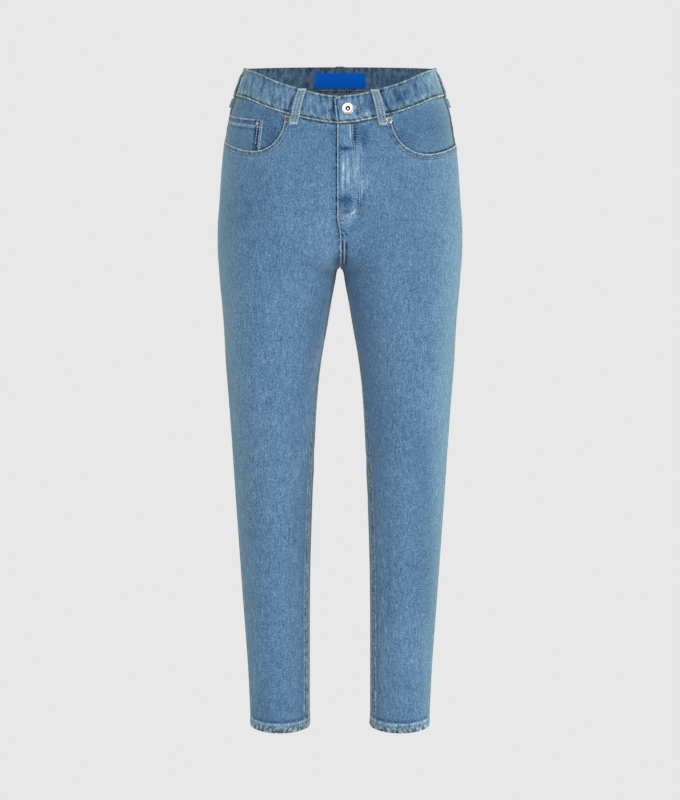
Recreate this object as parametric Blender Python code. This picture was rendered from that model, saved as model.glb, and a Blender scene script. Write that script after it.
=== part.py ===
"""Mom jeans in washed denim, filled out as if worn, with open waist and hems.

Frame: +X is the wearer's left, -Y the front and +Z up. The origin is the middle
of the waist opening, level with the top edge of the waistband at the sides.
All sizes here are in millimetres and become metres when a mesh is made.

One skin function gives the outer surface of the trousers from the table of
sections. Every piece of cloth is a patch of that skin, lifted out or in, with a
wall behind it. A place on the skin is a half (front or back), an arc length
from the centre or inner seam, and a height.
"""
import math
from collections import namedtuple

import bpy
import bmesh
import numpy as np

METRE = 0.001

# Cloth
WALL = 1.4              # denim panel
BAND_WALL = 2.8         # waistband, two layers of denim
BAND_PROUD = 0.8        # waistband's face above the panels' face
HEM_WALL = 3.6          # turned-up hem, three layers
HEM_DEPTH = 15.0
SEAM_GAP = 0.3          # between pieces at a seam
BUTT_GAP = 0.5          # between edges whose columns differ

# Lengths down the garment
CROTCH = -287.0         # height of the crotch point
HEM = -1000.0           # height of the hems
SADDLE = 120.0          # height over which the legs part from the seat
SADDLE_POWER = 1.5
CREASE_SOFT = 72.0      # how softly the centre seam's crease is rounded

# Waistband
BAND_HEIGHT = 38.5
SIDE_RISE = 2.2         # the band's top edge stands this far above the origin at the sides
BACK_RISE = 3.4         # and this far at the centre back
OVERLAP_TOP = 8.6       # the overlap's end past the centre, at its top
OVERLAP_FOOT = 4.3      # and at its foot
OVERLAP_CHAMFER = 5.0
UNDERLAP = 22.0         # the under end past the centre
UNDERLAP_EASE = 30.0    # length over which the under end dips inward

# Fly
FLY_EDGE = 4.0          # fly edge past the centre, on the wearer's right
FLY_WIDTH = 22.0
FLY_FOOT = -213.0
FLY_TURN = 23.0         # height of the curve at the fly's foot
FLY_EASE_TOP = -205.0   # where the edge starts to run back to the centre seam
FLY_EASE_FOOT = -232.0
FLY_RAISE = 1.2
FLY_STEP = 4.5          # width of the step at the fly's stitching

# Front pocket mouth: a quarter ellipse, then a slight rise to the side seam
MOUTH_TOP = -60.0
MOUTH_RISE = 9.0
MOUTH_RISE_RUN = 42.0
FACING_UNDER = 13.0     # how far the hip facing runs on below the mouth
FACING_LIFT = -2.3
FACING_WALL = 1.2
HIP_LEVEL = -107.0      # ring that sets the columns over the hip

# Coin pocket on the wearer's right
COIN_LEFT = 115.5       # its inner edge, from the centre
COIN_TOP_SIDE = -63.0
COIN_TOP_INNER = -68.5
COIN_WALL = 1.3
COIN_CLEAR = 0.55
COIN_FOOT_GAP = 1.5     # room above the mouth's edge

# Back yoke and patch pockets
YOKE_SIDE = -80.0
YOKE_CENTRE = -116.0
PATCH_INNER = 44.0      # arc from the centre back to the pocket's inner edge
PATCH_WIDTH = 138.0
PATCH_TOP_INNER = -134.0
PATCH_TOP_OUTER = -128.0
PATCH_CORNER = -252.0   # height of the two lower corners
PATCH_POINT = -274.0    # height of the middle point
PATCH_TAPER = 9.0       # each side draws in this much toward the foot
PATCH_WALL = 1.3
PATCH_CLEAR = 0.9

# Belt loops
LOOP_WIDTH = 12.0
LOOP_WALL = 1.8
LOOP_REST = 0.35
LOOP_SEAT_RISE = 0.3    # the foot tack stands this much higher over the panels
LOOP_TACK_CLEAR = 2.5

# Metal
BUTTON_RADIUS = 8.0
BUTTON_HEIGHT = 3.4
BUTTON_HOLE = 3.0
BUTTON_PLACE = (11.0, -52.3)
RIVET_RADIUS = 4.2
RIVET_HEIGHT = 1.5
RIVET_PLACES = {1: (70.2, -68.5), -1: (75.0, -67.5)}
COIN_RIVET_RADIUS = 2.2
COIN_RIVET_HEIGHT = 1.0
COIN_RIVET_PLACE = (118.8, -73.5)
METAL_REST = 0.4

# Label inside the back of the waistband
LABEL_WIDTH = 76.0
LABEL_TOP = -5.0
LABEL_FOOT = -27.5
LABEL_WALL = 0.6
LABEL_CLEAR = 0.4

# Colours, linear
DENIM = (0.115, 0.22, 0.355)
DENIM_DARK = (0.075, 0.155, 0.27)
STEEL = (0.62, 0.62, 0.60)
BRASS = (0.50, 0.45, 0.30)
BLUE = (0.003, 0.08, 0.44)

Mouth = namedtuple("Mouth", "start low depth")

# By side, the distance from the centre where the mouth leaves the waist seam and
# where it is lowest, and its depth there.
MOUTHS = {1: Mouth(72.5, 127.0, 57.0), -1: Mouth(78.5, 124.5, 52.5)}

Section = namedtuple("Section", "height outer gap front back middle square")

# A row for each level: half width to the outer edge, half of the space between
# the legs, depth forward and back of the side line, place of that line from
# front to back, and squareness of the ring (2 is a plain ellipse).
SECTIONS = (
    Section(8, 136.0, 0, 83.0, 83.0, 0, 2.2),
    Section(0, 138.5, 0, 84.0, 84.5, 0, 2.2),
    Section(-20, 145.3, 0, 87.0, 88.0, 0, 2.2),
    Section(-40, 153.6, 0, 90.5, 93.0, 0, 2.2),
    Section(-60, 161.0, 0, 94.0, 99.0, 0, 2.2),
    Section(-87, 165.8, 0, 98.0, 107.5, 0, 2.2),
    Section(-115, 171.0, 0, 101.5, 116.5, 0, 2.2),
    Section(-150, 174.6, 0, 104.5, 125.0, 0, 2.2),
    Section(-190, 177.5, 0, 107.0, 130.5, 0, 2.2),
    Section(-230, 180.6, 0, 108.5, 130.5, 0, 2.2),
    Section(-263, 181.0, 0, 109.0, 126.5, 0, 2.15),
    Section(-287, 179.4, 0.3, 108.5, 120.5, 0, 2.1),
    Section(-293, 179.0, 5.0, 108.0, 118.5, 0, 2.1),
    Section(-308, 178.2, 7.6, 106.5, 113.5, -1, 2.05),
    Section(-338, 175.6, 13.4, 103.5, 105.5, -2, 2.0),
    Section(-368, 173.2, 18.4, 101.0, 100.0, -4, 2.0),
    Section(-428, 170.6, 28.3, 94.0, 92.0, -6, 2.0),
    Section(-489, 166.6, 34.4, 87.0, 86.0, -6, 2.0),
    Section(-550, 162.8, 37.8, 81.0, 80.0, -5, 2.0),
    Section(-643, 157.6, 41.8, 74.0, 72.5, -3, 2.0),
    Section(-706, 153.9, 44.0, 69.0, 68.5, -1, 2.0),
    Section(-770, 150.2, 45.6, 64.0, 64.5, 1, 2.0),
    Section(-834, 146.2, 46.2, 58.5, 60.5, 2, 2.0),
    Section(-898, 142.2, 46.4, 53.0, 56.0, 3, 2.0),
    Section(-963, 139.4, 46.6, 47.5, 51.5, 3, 2.0),
    Section(-1000, 138.2, 46.6, 44.5, 49.5, 3, 2.0),
)

SeamTurn = namedtuple("SeamTurn", "height side inner")

# Degrees by which the side seam and the inner seam have turned to the front.
SEAM_TURNS = (
    SeamTurn(8, 0, 0),
    SeamTurn(-230, 0, 0),
    SeamTurn(-330, 9, 2),
    SeamTurn(-480, 15, 16),
    SeamTurn(-640, 17, 26),
    SeamTurn(-1000, 17, 28),
)

Dip = namedtuple("Dip", "share drop")

# The front of the band's top edge, by share of the half width from the centre.
FRONT_DIP = (
    Dip(0.0, 34.0),
    Dip(0.15, 31.8),
    Dip(0.3, 27.2),
    Dip(0.45, 21.5),
    Dip(0.6, 15.3),
    Dip(0.72, 9.2),
    Dip(0.82, 3.7),
    Dip(0.92, -0.6),
    Dip(1.0, -SIDE_RISE),
)

# Levels of the rows that all the leg panels share, below the pocket mouths.
LEVELS_SEAT = (-150, -178, -200, -213, -228, -243, -257, -268, -277, -283, -287)
LEVELS_LEG = (-291, -300, -318, -345, -385, -430, -480, -530, -580, -630,
              -680, -730, -780, -830, -880, -930, -984, -985.5, -1000)
BACK_SPANS = 12         # columns of faces in a back panel
FRONT_TOP_SHARES = (0.0, 0.25, 0.5, 0.75)
BACK_TOP_SHARES = (0.0, 0.5)
BLEND_TOP = -215.0      # columns run from their top places to even ones here
BLEND_FOOT = -430.0

Loop = namedtuple("Loop", "name side half top_arc foot_arc length space above")

# Where each belt loop sits: arcs of its two ends, its length, the room for a belt
# between it and the band, and how far its fold stands above the band.
LOOPS = (
    Loop("belt_loop_front_right", -1, "front", 53.5, 66.5, 51.0, 3.6, 1.0),
    Loop("belt_loop_front_left", 1, "front", 49.0, 61.5, 51.0, 3.6, 1.0),
    Loop("belt_loop_side_right", -1, "back", 171.0, 192.0, 58.0, 2.2, 0.4),
    Loop("belt_loop_side_left", 1, "back", 171.0, 192.0, 58.0, 2.2, 0.4),
    Loop("belt_loop_back", 1, "back", 0.0, 0.0, 57.0, 5.4, 0.6),
)
LoopStep = namedtuple("LoopStep", "down rise layers")
# Along a belt loop: share of its length, share of the belt room, and layers of
# cloth, as the foot is folded under.
LOOP_STEPS = (
    LoopStep(0.0, 0.0, 1),
    LoopStep(0.10, 0.0, 1),
    LoopStep(0.17, 0.55, 1),
    LoopStep(0.25, 1.0, 1),
    LoopStep(0.42, 1.0, 1),
    LoopStep(0.58, 1.0, 1),
    LoopStep(0.68, 0.6, 1),
    LoopStep(0.76, 0.15, 1),
    LoopStep(0.79, 0.12, 2),
    LoopStep(0.88, 0.08, 2),
    LoopStep(1.0, 0.05, 2),
)


def smooth_step(share):
    """Ease from 0 to 1."""
    share = min(1.0, max(0.0, share))
    return share * share * (3.0 - 2.0 * share)


class Curve:
    """A smooth curve through a table's rows that never overshoots them."""

    def __init__(self, xs, ys):
        order = np.argsort(xs)
        self.xs = np.array(xs, dtype=float)[order]
        self.ys = np.array(ys, dtype=float)[order]
        steps = np.diff(self.xs)
        rises = np.diff(self.ys) / steps
        slopes = np.zeros(len(self.xs))
        slopes[0] = rises[0]
        slopes[-1] = rises[-1]
        for i in range(1, len(slopes) - 1):
            before, after = rises[i - 1], rises[i]
            if before * after > 0:
                first = 2 * steps[i] + steps[i - 1]
                second = steps[i] + 2 * steps[i - 1]
                slopes[i] = (first + second) / (first / before + second / after)
        self.slopes = slopes

    def __call__(self, x):
        x = min(self.xs[-1], max(self.xs[0], x))
        i = int(np.searchsorted(self.xs, x, side="right")) - 1
        i = min(len(self.xs) - 2, max(0, i))
        step = self.xs[i + 1] - self.xs[i]
        t = (x - self.xs[i]) / step
        start = self.ys[i] * (1 + 2 * t) * (1 - t) ** 2
        end = self.ys[i + 1] * t * t * (3 - 2 * t)
        lean_in = self.slopes[i] * step * t * (1 - t) ** 2
        lean_out = self.slopes[i + 1] * step * t * t * (t - 1)
        return start + end + lean_in + lean_out


def column(rows, name):
    """A named column of a table, against the table's first column."""
    return Curve([row[0] for row in rows], [getattr(row, name) for row in rows])


class Skin:
    """The outer surface of the trousers."""

    SAMPLES = 200

    def __init__(self):
        self.outer = column(SECTIONS, "outer")
        self.gap = column(SECTIONS, "gap")
        self.front = column(SECTIONS, "front")
        self.back = column(SECTIONS, "back")
        self.middle = column(SECTIONS, "middle")
        self.square = column(SECTIONS, "square")
        self.side_turn = column(SEAM_TURNS, "side")
        self.inner_turn = column(SEAM_TURNS, "inner")
        self.known = {}

    def outline(self, half, height):
        """Points of one half ring on the +X side, and the arc to each of them.

        The first point is at the centre or inner seam and the last at the side.
        """
        key = (half, round(height, 4))
        if key in self.known:
            return self.known[key]
        outer = self.outer(height)
        gap = self.gap(height)
        square = 2.0 / self.square(height)
        above = height - CROTCH
        soft = 0.0
        if above > 0:
            part = max(0.0, 1.0 - above / SADDLE) ** SADDLE_POWER
            radius = outer / (1.0 + part)
            centre = part * radius
            soft = CREASE_SOFT * part * (1.0 - part)
            lean = (soft - centre) / radius
            cosine = math.copysign(abs(lean) ** (1.0 / square), lean)
            turn = math.acos(max(-1.0, cosine))
            side_turn = math.radians(self.side_turn(height))
            sweep = turn if half == "front" else -turn
        else:
            radius = (outer - gap) / 2.0
            centre = (outer + gap) / 2.0
            side_turn = math.radians(self.side_turn(height))
            inner_turn = math.radians(self.inner_turn(height))
            sweep = math.pi - inner_turn if half == "front" else -math.pi - inner_turn
        angles = np.linspace(sweep, side_turn, self.SAMPLES)
        cosines = np.cos(angles)
        sines = np.sin(angles)
        across = centre + radius * np.sign(cosines) * np.abs(cosines) ** square
        if above > 0:
            inside = np.maximum(across ** 2 - soft ** 2, 0.0)
            across = outer * np.sqrt(inside / (outer ** 2 - soft ** 2))
        depth = np.where(sines >= 0, -self.front(height), self.back(height))
        along = self.middle(height) + depth * np.abs(sines) ** square
        points = np.column_stack([across, along])
        steps = np.hypot(*np.diff(points, axis=0).T)
        arcs = np.concatenate([[0.0], np.cumsum(steps)])
        self.known[key] = (points, arcs)
        return self.known[key]

    def length(self, half, height):
        """Arc from the centre or inner seam to the side seam."""
        return self.outline(half, height)[1][-1]

    def arc_at(self, half, across, height):
        """Arc at which the outline is this far from the centre plane."""
        points, arcs = self.outline(half, height)
        order = np.argsort(points[:, 0])
        return float(np.interp(across, points[order, 0], arcs[order]))

    def flat_point(self, half, share, height):
        """The point at this share of the half ring's arc."""
        points, arcs = self.outline(half, height)
        arc = share * arcs[-1]
        return np.array([np.interp(arc, arcs, points[:, 0]),
                         np.interp(arc, arcs, points[:, 1]), height])

    def normal(self, half, share, height):
        """Outward direction of the skin on the +X side."""
        step = 0.006
        low, high = max(0.0, share - step), min(1.0, share + step)
        around = self.flat_point(half, high, height) - self.flat_point(half, low, height)
        upward = (self.flat_point(half, share, height + 1.5)
                  - self.flat_point(half, share, height - 1.5))
        out = np.cross(upward, around)
        if half == "front":
            out = -out
        return out / np.linalg.norm(out)

    def point(self, side, half, arc, height, lift=0.0):
        """A point over the skin; an arc below 0 runs past the centre."""
        if arc < 0:
            side, arc = -side, -arc
        share = min(1.0, arc / self.length(half, height))
        place = self.flat_point(half, share, height)
        place = place + self.normal(half, share, height) * lift
        return np.array([side * place[0], place[1], place[2]])


SKIN = Skin()
DIP = column(FRONT_DIP, "drop")


def band_top(half, share):
    """Height of the band's top edge, by share of the half width from the centre."""
    if half == "front":
        return -DIP(share)
    return SIDE_RISE + (BACK_RISE - SIDE_RISE) * (1.0 - share ** 2)


def waist_seam(half, across, height_guess=-60.0):
    """Height of the band's foot at a distance from the centre plane."""
    share = min(1.0, abs(across) / SKIN.outer(height_guess))
    return band_top(half, share) - BAND_HEIGHT


def mouth_height(side, across, under=0.0):
    """Height of the pocket mouth, or of a line this far under it."""
    mouth = MOUTHS[side]
    if across < mouth.low:
        share = (mouth.low - across) / (mouth.low - mouth.start + under)
        fall = math.sqrt(max(0.0, 1.0 - share ** 2))
        return MOUTH_TOP - (mouth.depth + under) * fall
    rise = MOUTH_RISE * ((across - mouth.low) / MOUTH_RISE_RUN) ** 2
    return MOUTH_TOP - mouth.depth - under + rise


def fly_raise(arc, height):
    """How far the fly lies above the front, on the wearer's left."""
    limit = FLY_WIDTH
    turn = FLY_FOOT + FLY_TURN
    if height < turn:
        share = min(1.0, (turn - height) / FLY_TURN)
        limit = FLY_WIDTH * math.sqrt(1.0 - share ** 2)
    return FLY_RAISE * smooth_step((limit - arc) / FLY_STEP + 0.5)


def fly_edge(height):
    """Distance of the fly's edge past the centre."""
    share = (height - FLY_EASE_FOOT) / (FLY_EASE_TOP - FLY_EASE_FOOT)
    return FLY_EDGE * smooth_step(share)


def clear_of_centre(place, side):
    """Keep a point on its own side of the centre seam."""
    place[0] = side * max(side * place[0], SEAM_GAP / 2)
    return place


def solid_from_sheets(name, outer, inner, colour, rough=0.85, metal=0.0):
    """A closed solid between two grids of points, with walls round the edges."""
    outer = np.array(outer)
    inner = np.array(inner)
    rows, cols = outer.shape[:2]
    points = np.concatenate([outer.reshape(-1, 3), inner.reshape(-1, 3)]) * METRE
    shift = rows * cols

    def at(row, col):
        return row * cols + col

    faces = []
    for i in range(rows - 1):
        for j in range(cols - 1):
            ring = (at(i, j), at(i, j + 1), at(i + 1, j + 1), at(i + 1, j))
            faces.append(ring)
            faces.append(tuple(shift + k for k in reversed(ring)))
    border = [at(0, j) for j in range(cols)]
    border += [at(i, cols - 1) for i in range(1, rows)]
    border += [at(rows - 1, j) for j in range(cols - 2, -1, -1)]
    border += [at(i, 0) for i in range(rows - 2, 0, -1)]
    for here, there in zip(border, border[1:] + border[:1]):
        faces.append((there, here, shift + here, shift + there))
    return make_object(name, points, faces, colour, rough, metal)


def make_object(name, points, faces, colour, rough, metal):
    """A mesh object with its faces outward and a material of its own."""
    mesh = bpy.data.meshes.new(name)
    mesh.from_pydata([tuple(p) for p in points], [], faces)
    form = bmesh.new()
    form.from_mesh(mesh)
    bmesh.ops.recalc_face_normals(form, faces=form.faces)
    form.to_mesh(mesh)
    form.free()
    mesh.shade_smooth()
    mesh.set_sharp_from_angle(angle=math.radians(40))
    item = bpy.data.objects.new(name, mesh)
    bpy.context.scene.collection.objects.link(item)
    item.data.materials.append(make_material(name, colour, rough, metal))
    return item


def make_material(name, colour, rough, metal):
    """A plain Principled finish."""
    material = bpy.data.materials.new(name + "_finish")
    material.use_nodes = True
    shader = material.node_tree.nodes["Principled BSDF"]
    shader.inputs["Base Color"].default_value = (*colour, 1.0)
    shader.inputs["Roughness"].default_value = rough
    shader.inputs["Metallic"].default_value = metal
    return material


def panel_wall(height):
    """Wall of a leg panel, with the hem turned up inside."""
    return HEM_WALL if height < HEM + HEM_DEPTH else WALL


def front_tops(side):
    """The front panel's columns at their tops: arc and height of each."""
    mouth = MOUTHS[side]
    places = []
    for across in (0.0, 11.0, 19.0, 24.5, 48.0, mouth.start - 1.0):
        places.append((across, waist_seam("front", across) - BUTT_GAP))
    for degrees in (18.0, 36.0, 54.0, 72.0, 90.0):
        turn = math.radians(degrees)
        across = mouth.low - (mouth.low - mouth.start) * math.cos(turn)
        places.append((across, MOUTH_TOP - mouth.depth * math.sin(turn)))
    tops = [(SKIN.arc_at("front", across, height), height) for across, height in places]
    low_height = places[-1][1]
    low_share = tops[-1][0] / SKIN.length("front", low_height)
    for part in (0.25, 0.5, 0.75, 1.0):
        share = low_share + (1.0 - low_share) * part
        height = mouth_height(side, SKIN.flat_point("front", share, low_height)[0])
        tops.append((share * SKIN.length("front", height), height))
    return tops


def front_share(share_top, share_foot, height):
    """A column's share of the ring at this height."""
    run = smooth_step((BLEND_TOP - height) / (BLEND_TOP - BLEND_FOOT))
    return share_top + (share_foot - share_top) * run


def front_panel(name, side):
    """A front leg panel, from waist seam and pocket mouth to hem."""
    tops = front_tops(side)
    spans = len(tops) - 1
    outer, inner = [], []
    shares = [arc / SKIN.length("front", height) for arc, height in tops]
    rows = [("top", share) for share in FRONT_TOP_SHARES]
    rows += [("level", level) for level in LEVELS_SEAT + LEVELS_LEG]
    for kind, value in rows:
        outer_row, inner_row = [], []
        for j, (arc_top, height_top) in enumerate(tops):
            height = value
            if kind == "top":
                height = height_top + (LEVELS_SEAT[0] - height_top) * value
            length = SKIN.length("front", height)
            arc = front_share(shares[j], j / spans, height) * length
            if j == 0:
                arc = side * -fly_edge(height) + SEAM_GAP / 2
            elif j == spans:
                arc = length - SEAM_GAP / 2
            raised = fly_raise(max(arc, 0.0), height) if side > 0 else 0.0
            wall = panel_wall(height)
            out_point = SKIN.point(side, "front", arc, height, raised)
            in_point = SKIN.point(side, "front", arc, height, raised - wall)
            if height < FLY_EASE_FOOT + SEAM_GAP:
                out_point = clear_of_centre(out_point, side)
                in_point = clear_of_centre(in_point, side)
            outer_row.append(out_point)
            inner_row.append(in_point)
        outer.append(outer_row)
        inner.append(inner_row)
    return solid_from_sheets(name, outer, inner, DENIM)


def yoke_seam(share):
    """Height of the yoke seam by share of the back's arc from the centre."""
    return YOKE_CENTRE + (YOKE_SIDE - YOKE_CENTRE) * share


def back_arc(share, height):
    """Arc of a back column, held clear of the seams at both ends."""
    length = SKIN.length("back", height)
    return min(length - SEAM_GAP / 2, max(SEAM_GAP / 2, share * length))


def back_panel(name, side):
    """A back leg panel, from yoke seam to hem."""
    outer, inner = [], []
    rows = [("top", share) for share in BACK_TOP_SHARES]
    rows += [("level", level) for level in LEVELS_SEAT + LEVELS_LEG]
    for kind, value in rows:
        outer_row, inner_row = [], []
        for j in range(BACK_SPANS + 1):
            share = j / BACK_SPANS
            height = value
            if kind == "top":
                top = yoke_seam(share) - SEAM_GAP
                height = top + (LEVELS_SEAT[0] - top) * value
            arc = back_arc(share, height)
            wall = panel_wall(height)
            out_point = SKIN.point(side, "back", arc, height)
            in_point = SKIN.point(side, "back", arc, height, -wall)
            outer_row.append(clear_of_centre(out_point, side))
            inner_row.append(clear_of_centre(in_point, side))
        outer.append(outer_row)
        inner.append(inner_row)
    return solid_from_sheets(name, outer, inner, DENIM)


def yoke(name, side):
    """The back yoke between the waistband and the back panel."""
    outer, inner = [], []
    for fall in (0.0, 0.5, 1.0):
        outer_row, inner_row = [], []
        for j in range(BACK_SPANS + 1):
            share = j / BACK_SPANS
            place = SKIN.flat_point("back", share, -40.0)
            top = waist_seam("back", place[0], -40.0) - BUTT_GAP
            height = top + (yoke_seam(share) - top) * fall
            arc = back_arc(share, height)
            out_point = SKIN.point(side, "back", arc, height)
            in_point = SKIN.point(side, "back", arc, height, -WALL)
            outer_row.append(clear_of_centre(out_point, side))
            inner_row.append(clear_of_centre(in_point, side))
        outer.append(outer_row)
        inner.append(inner_row)
    return solid_from_sheets(name, outer, inner, DENIM)


def hip_facing(name, side):
    """The cloth behind a front pocket's mouth."""
    outer, inner = [], []
    start = MOUTHS[side].start - 0.8 * FACING_UNDER
    first = SKIN.arc_at("front", start, HIP_LEVEL) / SKIN.length("front", HIP_LEVEL)
    for fall in (0.0, 0.22, 0.5, 0.78, 1.0):
        outer_row, inner_row = [], []
        for share in np.linspace(first, 1.0, 12):
            across = SKIN.flat_point("front", share, HIP_LEVEL)[0]
            top = waist_seam("front", across) - BUTT_GAP
            foot = mouth_height(side, across, FACING_UNDER)
            height = top + (foot - top) * fall
            length = SKIN.length("front", height)
            arc = min(share * length, length - SEAM_GAP)
            outer_row.append(SKIN.point(side, "front", arc, height, FACING_LIFT))
            inner_row.append(SKIN.point(side, "front", arc, height, FACING_LIFT - FACING_WALL))
        outer.append(outer_row)
        inner.append(inner_row)
    return solid_from_sheets(name, outer, inner, DENIM_DARK)


def coin_pocket(name, side):
    """The small patch pocket on the hip facing, ending at the mouth."""
    outer, inner = [], []
    lift = FACING_LIFT + COIN_CLEAR
    first = SKIN.arc_at("front", COIN_LEFT, HIP_LEVEL) / SKIN.length("front", HIP_LEVEL)
    for fall in (0.0, 0.33, 0.67, 1.0):
        outer_row, inner_row = [], []
        for part in np.linspace(0.0, 1.0, 9):
            share = first + (1.0 - first) * part
            across = SKIN.flat_point("front", share, HIP_LEVEL)[0]
            top = COIN_TOP_INNER + (COIN_TOP_SIDE - COIN_TOP_INNER) * part
            foot = mouth_height(side, across) + COIN_FOOT_GAP
            height = top + (foot - top) * fall
            length = SKIN.length("front", height)
            arc = min(share * length, length - SEAM_GAP)
            outer_row.append(SKIN.point(side, "front", arc, height, lift + COIN_WALL))
            inner_row.append(SKIN.point(side, "front", arc, height, lift))
        outer.append(outer_row)
        inner.append(inner_row)
    return solid_from_sheets(name, outer, inner, DENIM_DARK)


def fly_facing(name):
    """The strip sewn behind the fly on the wearer's left."""
    outer, inner = [], []
    lift = FLY_RAISE - WALL - BUTT_GAP
    foot = FLY_FOOT + FLY_TURN
    for fall in (0.0, 0.2, 0.4, 0.6, 0.8, 1.0):
        outer_row, inner_row = [], []
        for arc in (-2.5, 4.0, 10.5, FLY_WIDTH - FLY_STEP):
            top = waist_seam("front", 0.0) - BUTT_GAP
            height = top + (foot - top) * fall
            outer_row.append(SKIN.point(1, "front", arc, height, lift))
            inner_row.append(SKIN.point(1, "front", arc, height, lift - FACING_WALL))
        outer.append(outer_row)
        inner.append(inner_row)
    return solid_from_sheets(name, outer, inner, DENIM_DARK)


def band_stations():
    """Places round the waistband from the overlap's end to the under end.

    Each is a side, a half, the arc's share of the half ring or an arc in
    millimetres near the front ends, the lift, and the cut off its top corner.
    """
    spans = 17
    places = []
    for arc in (-OVERLAP_TOP, -OVERLAP_FOOT, 1.0, 8.0, 15.0, 22.0, 30.0):
        cut = OVERLAP_CHAMFER * min(1.0, max(0.0, (1.0 - arc) / (1.0 + OVERLAP_TOP)))
        places.append((1, "front", arc, None, 0.0, cut))
    for j in range(4, spans + 1):
        places.append((1, "front", None, j / spans, 0.0, 0.0))
    for j in range(spans - 1, -1, -1):
        places.append((1, "back", None, j / spans, 0.0, 0.0))
    for j in range(1, spans + 1):
        places.append((-1, "back", None, j / spans, 0.0, 0.0))
    for j in range(spans - 1, 4, -1):
        places.append((-1, "front", None, j / spans, 0.0, 0.0))
    inward = -(BAND_WALL + BUTT_GAP)
    ease_start = OVERLAP_TOP + 4.0 + UNDERLAP_EASE
    for arc in (ease_start, 34.0, 26.0, 19.0, OVERLAP_TOP + 4.0, 4.0, -5.0, -13.0, -UNDERLAP):
        share = smooth_step((ease_start - arc) / UNDERLAP_EASE)
        places.append((-1, "front", arc, None, inward * share, 0.0))
    return places


def waistband(name):
    """The waistband, one strip whose ends lap at the centre front."""
    outer, inner = [], []
    for fall in (0.0, 0.5, 1.0):
        outer_row, inner_row = [], []
        for number, (side, half, arc, share, lift, cut) in enumerate(band_stations()):
            if arc is None:
                across = SKIN.flat_point(half, share, -20.0)[0]
            else:
                across = abs(arc)
            top = band_top(half, min(1.0, across / SKIN.outer(-20.0)))
            height = top - cut - (BAND_HEIGHT - cut) * fall
            if arc is None:
                reach = share * SKIN.length(half, height)
            else:
                reach = arc
            if number == 0:
                reach += (OVERLAP_TOP - OVERLAP_FOOT) * fall
            elif number == 1:
                reach += (OVERLAP_TOP - OVERLAP_FOOT) * fall / 2
            face = lift + BAND_PROUD
            outer_row.append(SKIN.point(side, half, reach, height, face))
            inner_row.append(SKIN.point(side, half, reach, height, face - BAND_WALL))
        outer.append(outer_row)
        inner.append(inner_row)
    return solid_from_sheets(name, outer, inner, DENIM)


def belt_loop(loop):
    """A folded strip tacked at the band's top edge and below its foot."""
    outer, inner = [], []
    level = -20.0
    length = SKIN.length(loop.half, level)
    start = SKIN.flat_point(loop.half, loop.top_arc / length, level)[0]
    top = band_top(loop.half, start / SKIN.outer(level)) + loop.above
    band_foot = top - loop.above - BAND_HEIGHT - LOOP_TACK_CLEAR
    for step in LOOP_STEPS:
        outer_row, inner_row = [], []
        middle = loop.top_arc + (loop.foot_arc - loop.top_arc) * step.down
        height = top - loop.length * step.down
        rest = LOOP_REST + (BAND_PROUD if height > band_foot else LOOP_SEAT_RISE)
        lift = rest + loop.space * step.rise
        face = lift + LOOP_WALL * step.layers
        for across in (-0.5, 0.0, 0.5):
            arc = middle + LOOP_WIDTH * across
            outer_row.append(SKIN.point(loop.side, loop.half, arc, height, face))
            inner_row.append(SKIN.point(loop.side, loop.half, arc, height, lift))
        outer.append(outer_row)
        inner.append(inner_row)
    return solid_from_sheets(loop.name, outer, inner, DENIM)


def patch_pocket(name, side):
    """A five-sided patch pocket on the back."""
    outer, inner = [], []
    spans = 10
    for fall in (0.0, 0.14, 0.3, 0.45, 0.6, 0.74, 0.87, 1.0):
        outer_row, inner_row = [], []
        for j in range(spans + 1):
            share = j / spans
            top = PATCH_TOP_INNER + (PATCH_TOP_OUTER - PATCH_TOP_INNER) * share
            foot = PATCH_POINT + (PATCH_CORNER - PATCH_POINT) * abs(2 * share - 1)
            height = top + (foot - top) * fall
            width = PATCH_WIDTH - 2 * PATCH_TAPER * fall
            arc = PATCH_INNER + PATCH_TAPER * fall + width * share
            arc *= SKIN.length("back", height) / SKIN.length("back", -190.0)
            lift = PATCH_CLEAR
            outer_row.append(SKIN.point(side, "back", arc, height, lift + PATCH_WALL))
            inner_row.append(SKIN.point(side, "back", arc, height, lift))
        outer.append(outer_row)
        inner.append(inner_row)
    return solid_from_sheets(name, outer, inner, DENIM)


def turned(name, side, place, base_lift, profile, colour, metal, around=24):
    """A turned metal piece standing on the skin; the profile runs foot to top."""
    across, height = place
    arc = SKIN.arc_at("front", across, height)
    base = SKIN.point(side, "front", arc, height, base_lift)
    out = SKIN.point(side, "front", arc, height, base_lift + 1.0) - base
    out = out / np.linalg.norm(out)
    right = np.cross(out, np.array([0.0, 0.0, 1.0]))
    right = right / np.linalg.norm(right)
    up = np.cross(right, out)
    points = [base + out * profile[0][1]]
    for radius, rise in profile[1:-1]:
        for k in range(around):
            turn = 2 * math.pi * k / around
            spoke = right * math.cos(turn) + up * math.sin(turn)
            points.append(base + spoke * radius + out * rise)
    points.append(base + out * profile[-1][1])
    last = len(points) - 1
    rings = len(profile) - 2
    faces = []
    for k in range(around):
        after = (k + 1) % around
        faces.append((0, 1 + after, 1 + k))
        tip = 1 + (rings - 1) * around
        faces.append((last, tip + k, tip + after))
        for ring in range(rings - 1):
            low = 1 + ring * around
            high = low + around
            faces.append((low + k, low + after, high + after, high + k))
    return make_object(name, np.array(points) * METRE, faces, colour, 0.3, metal)


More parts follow.
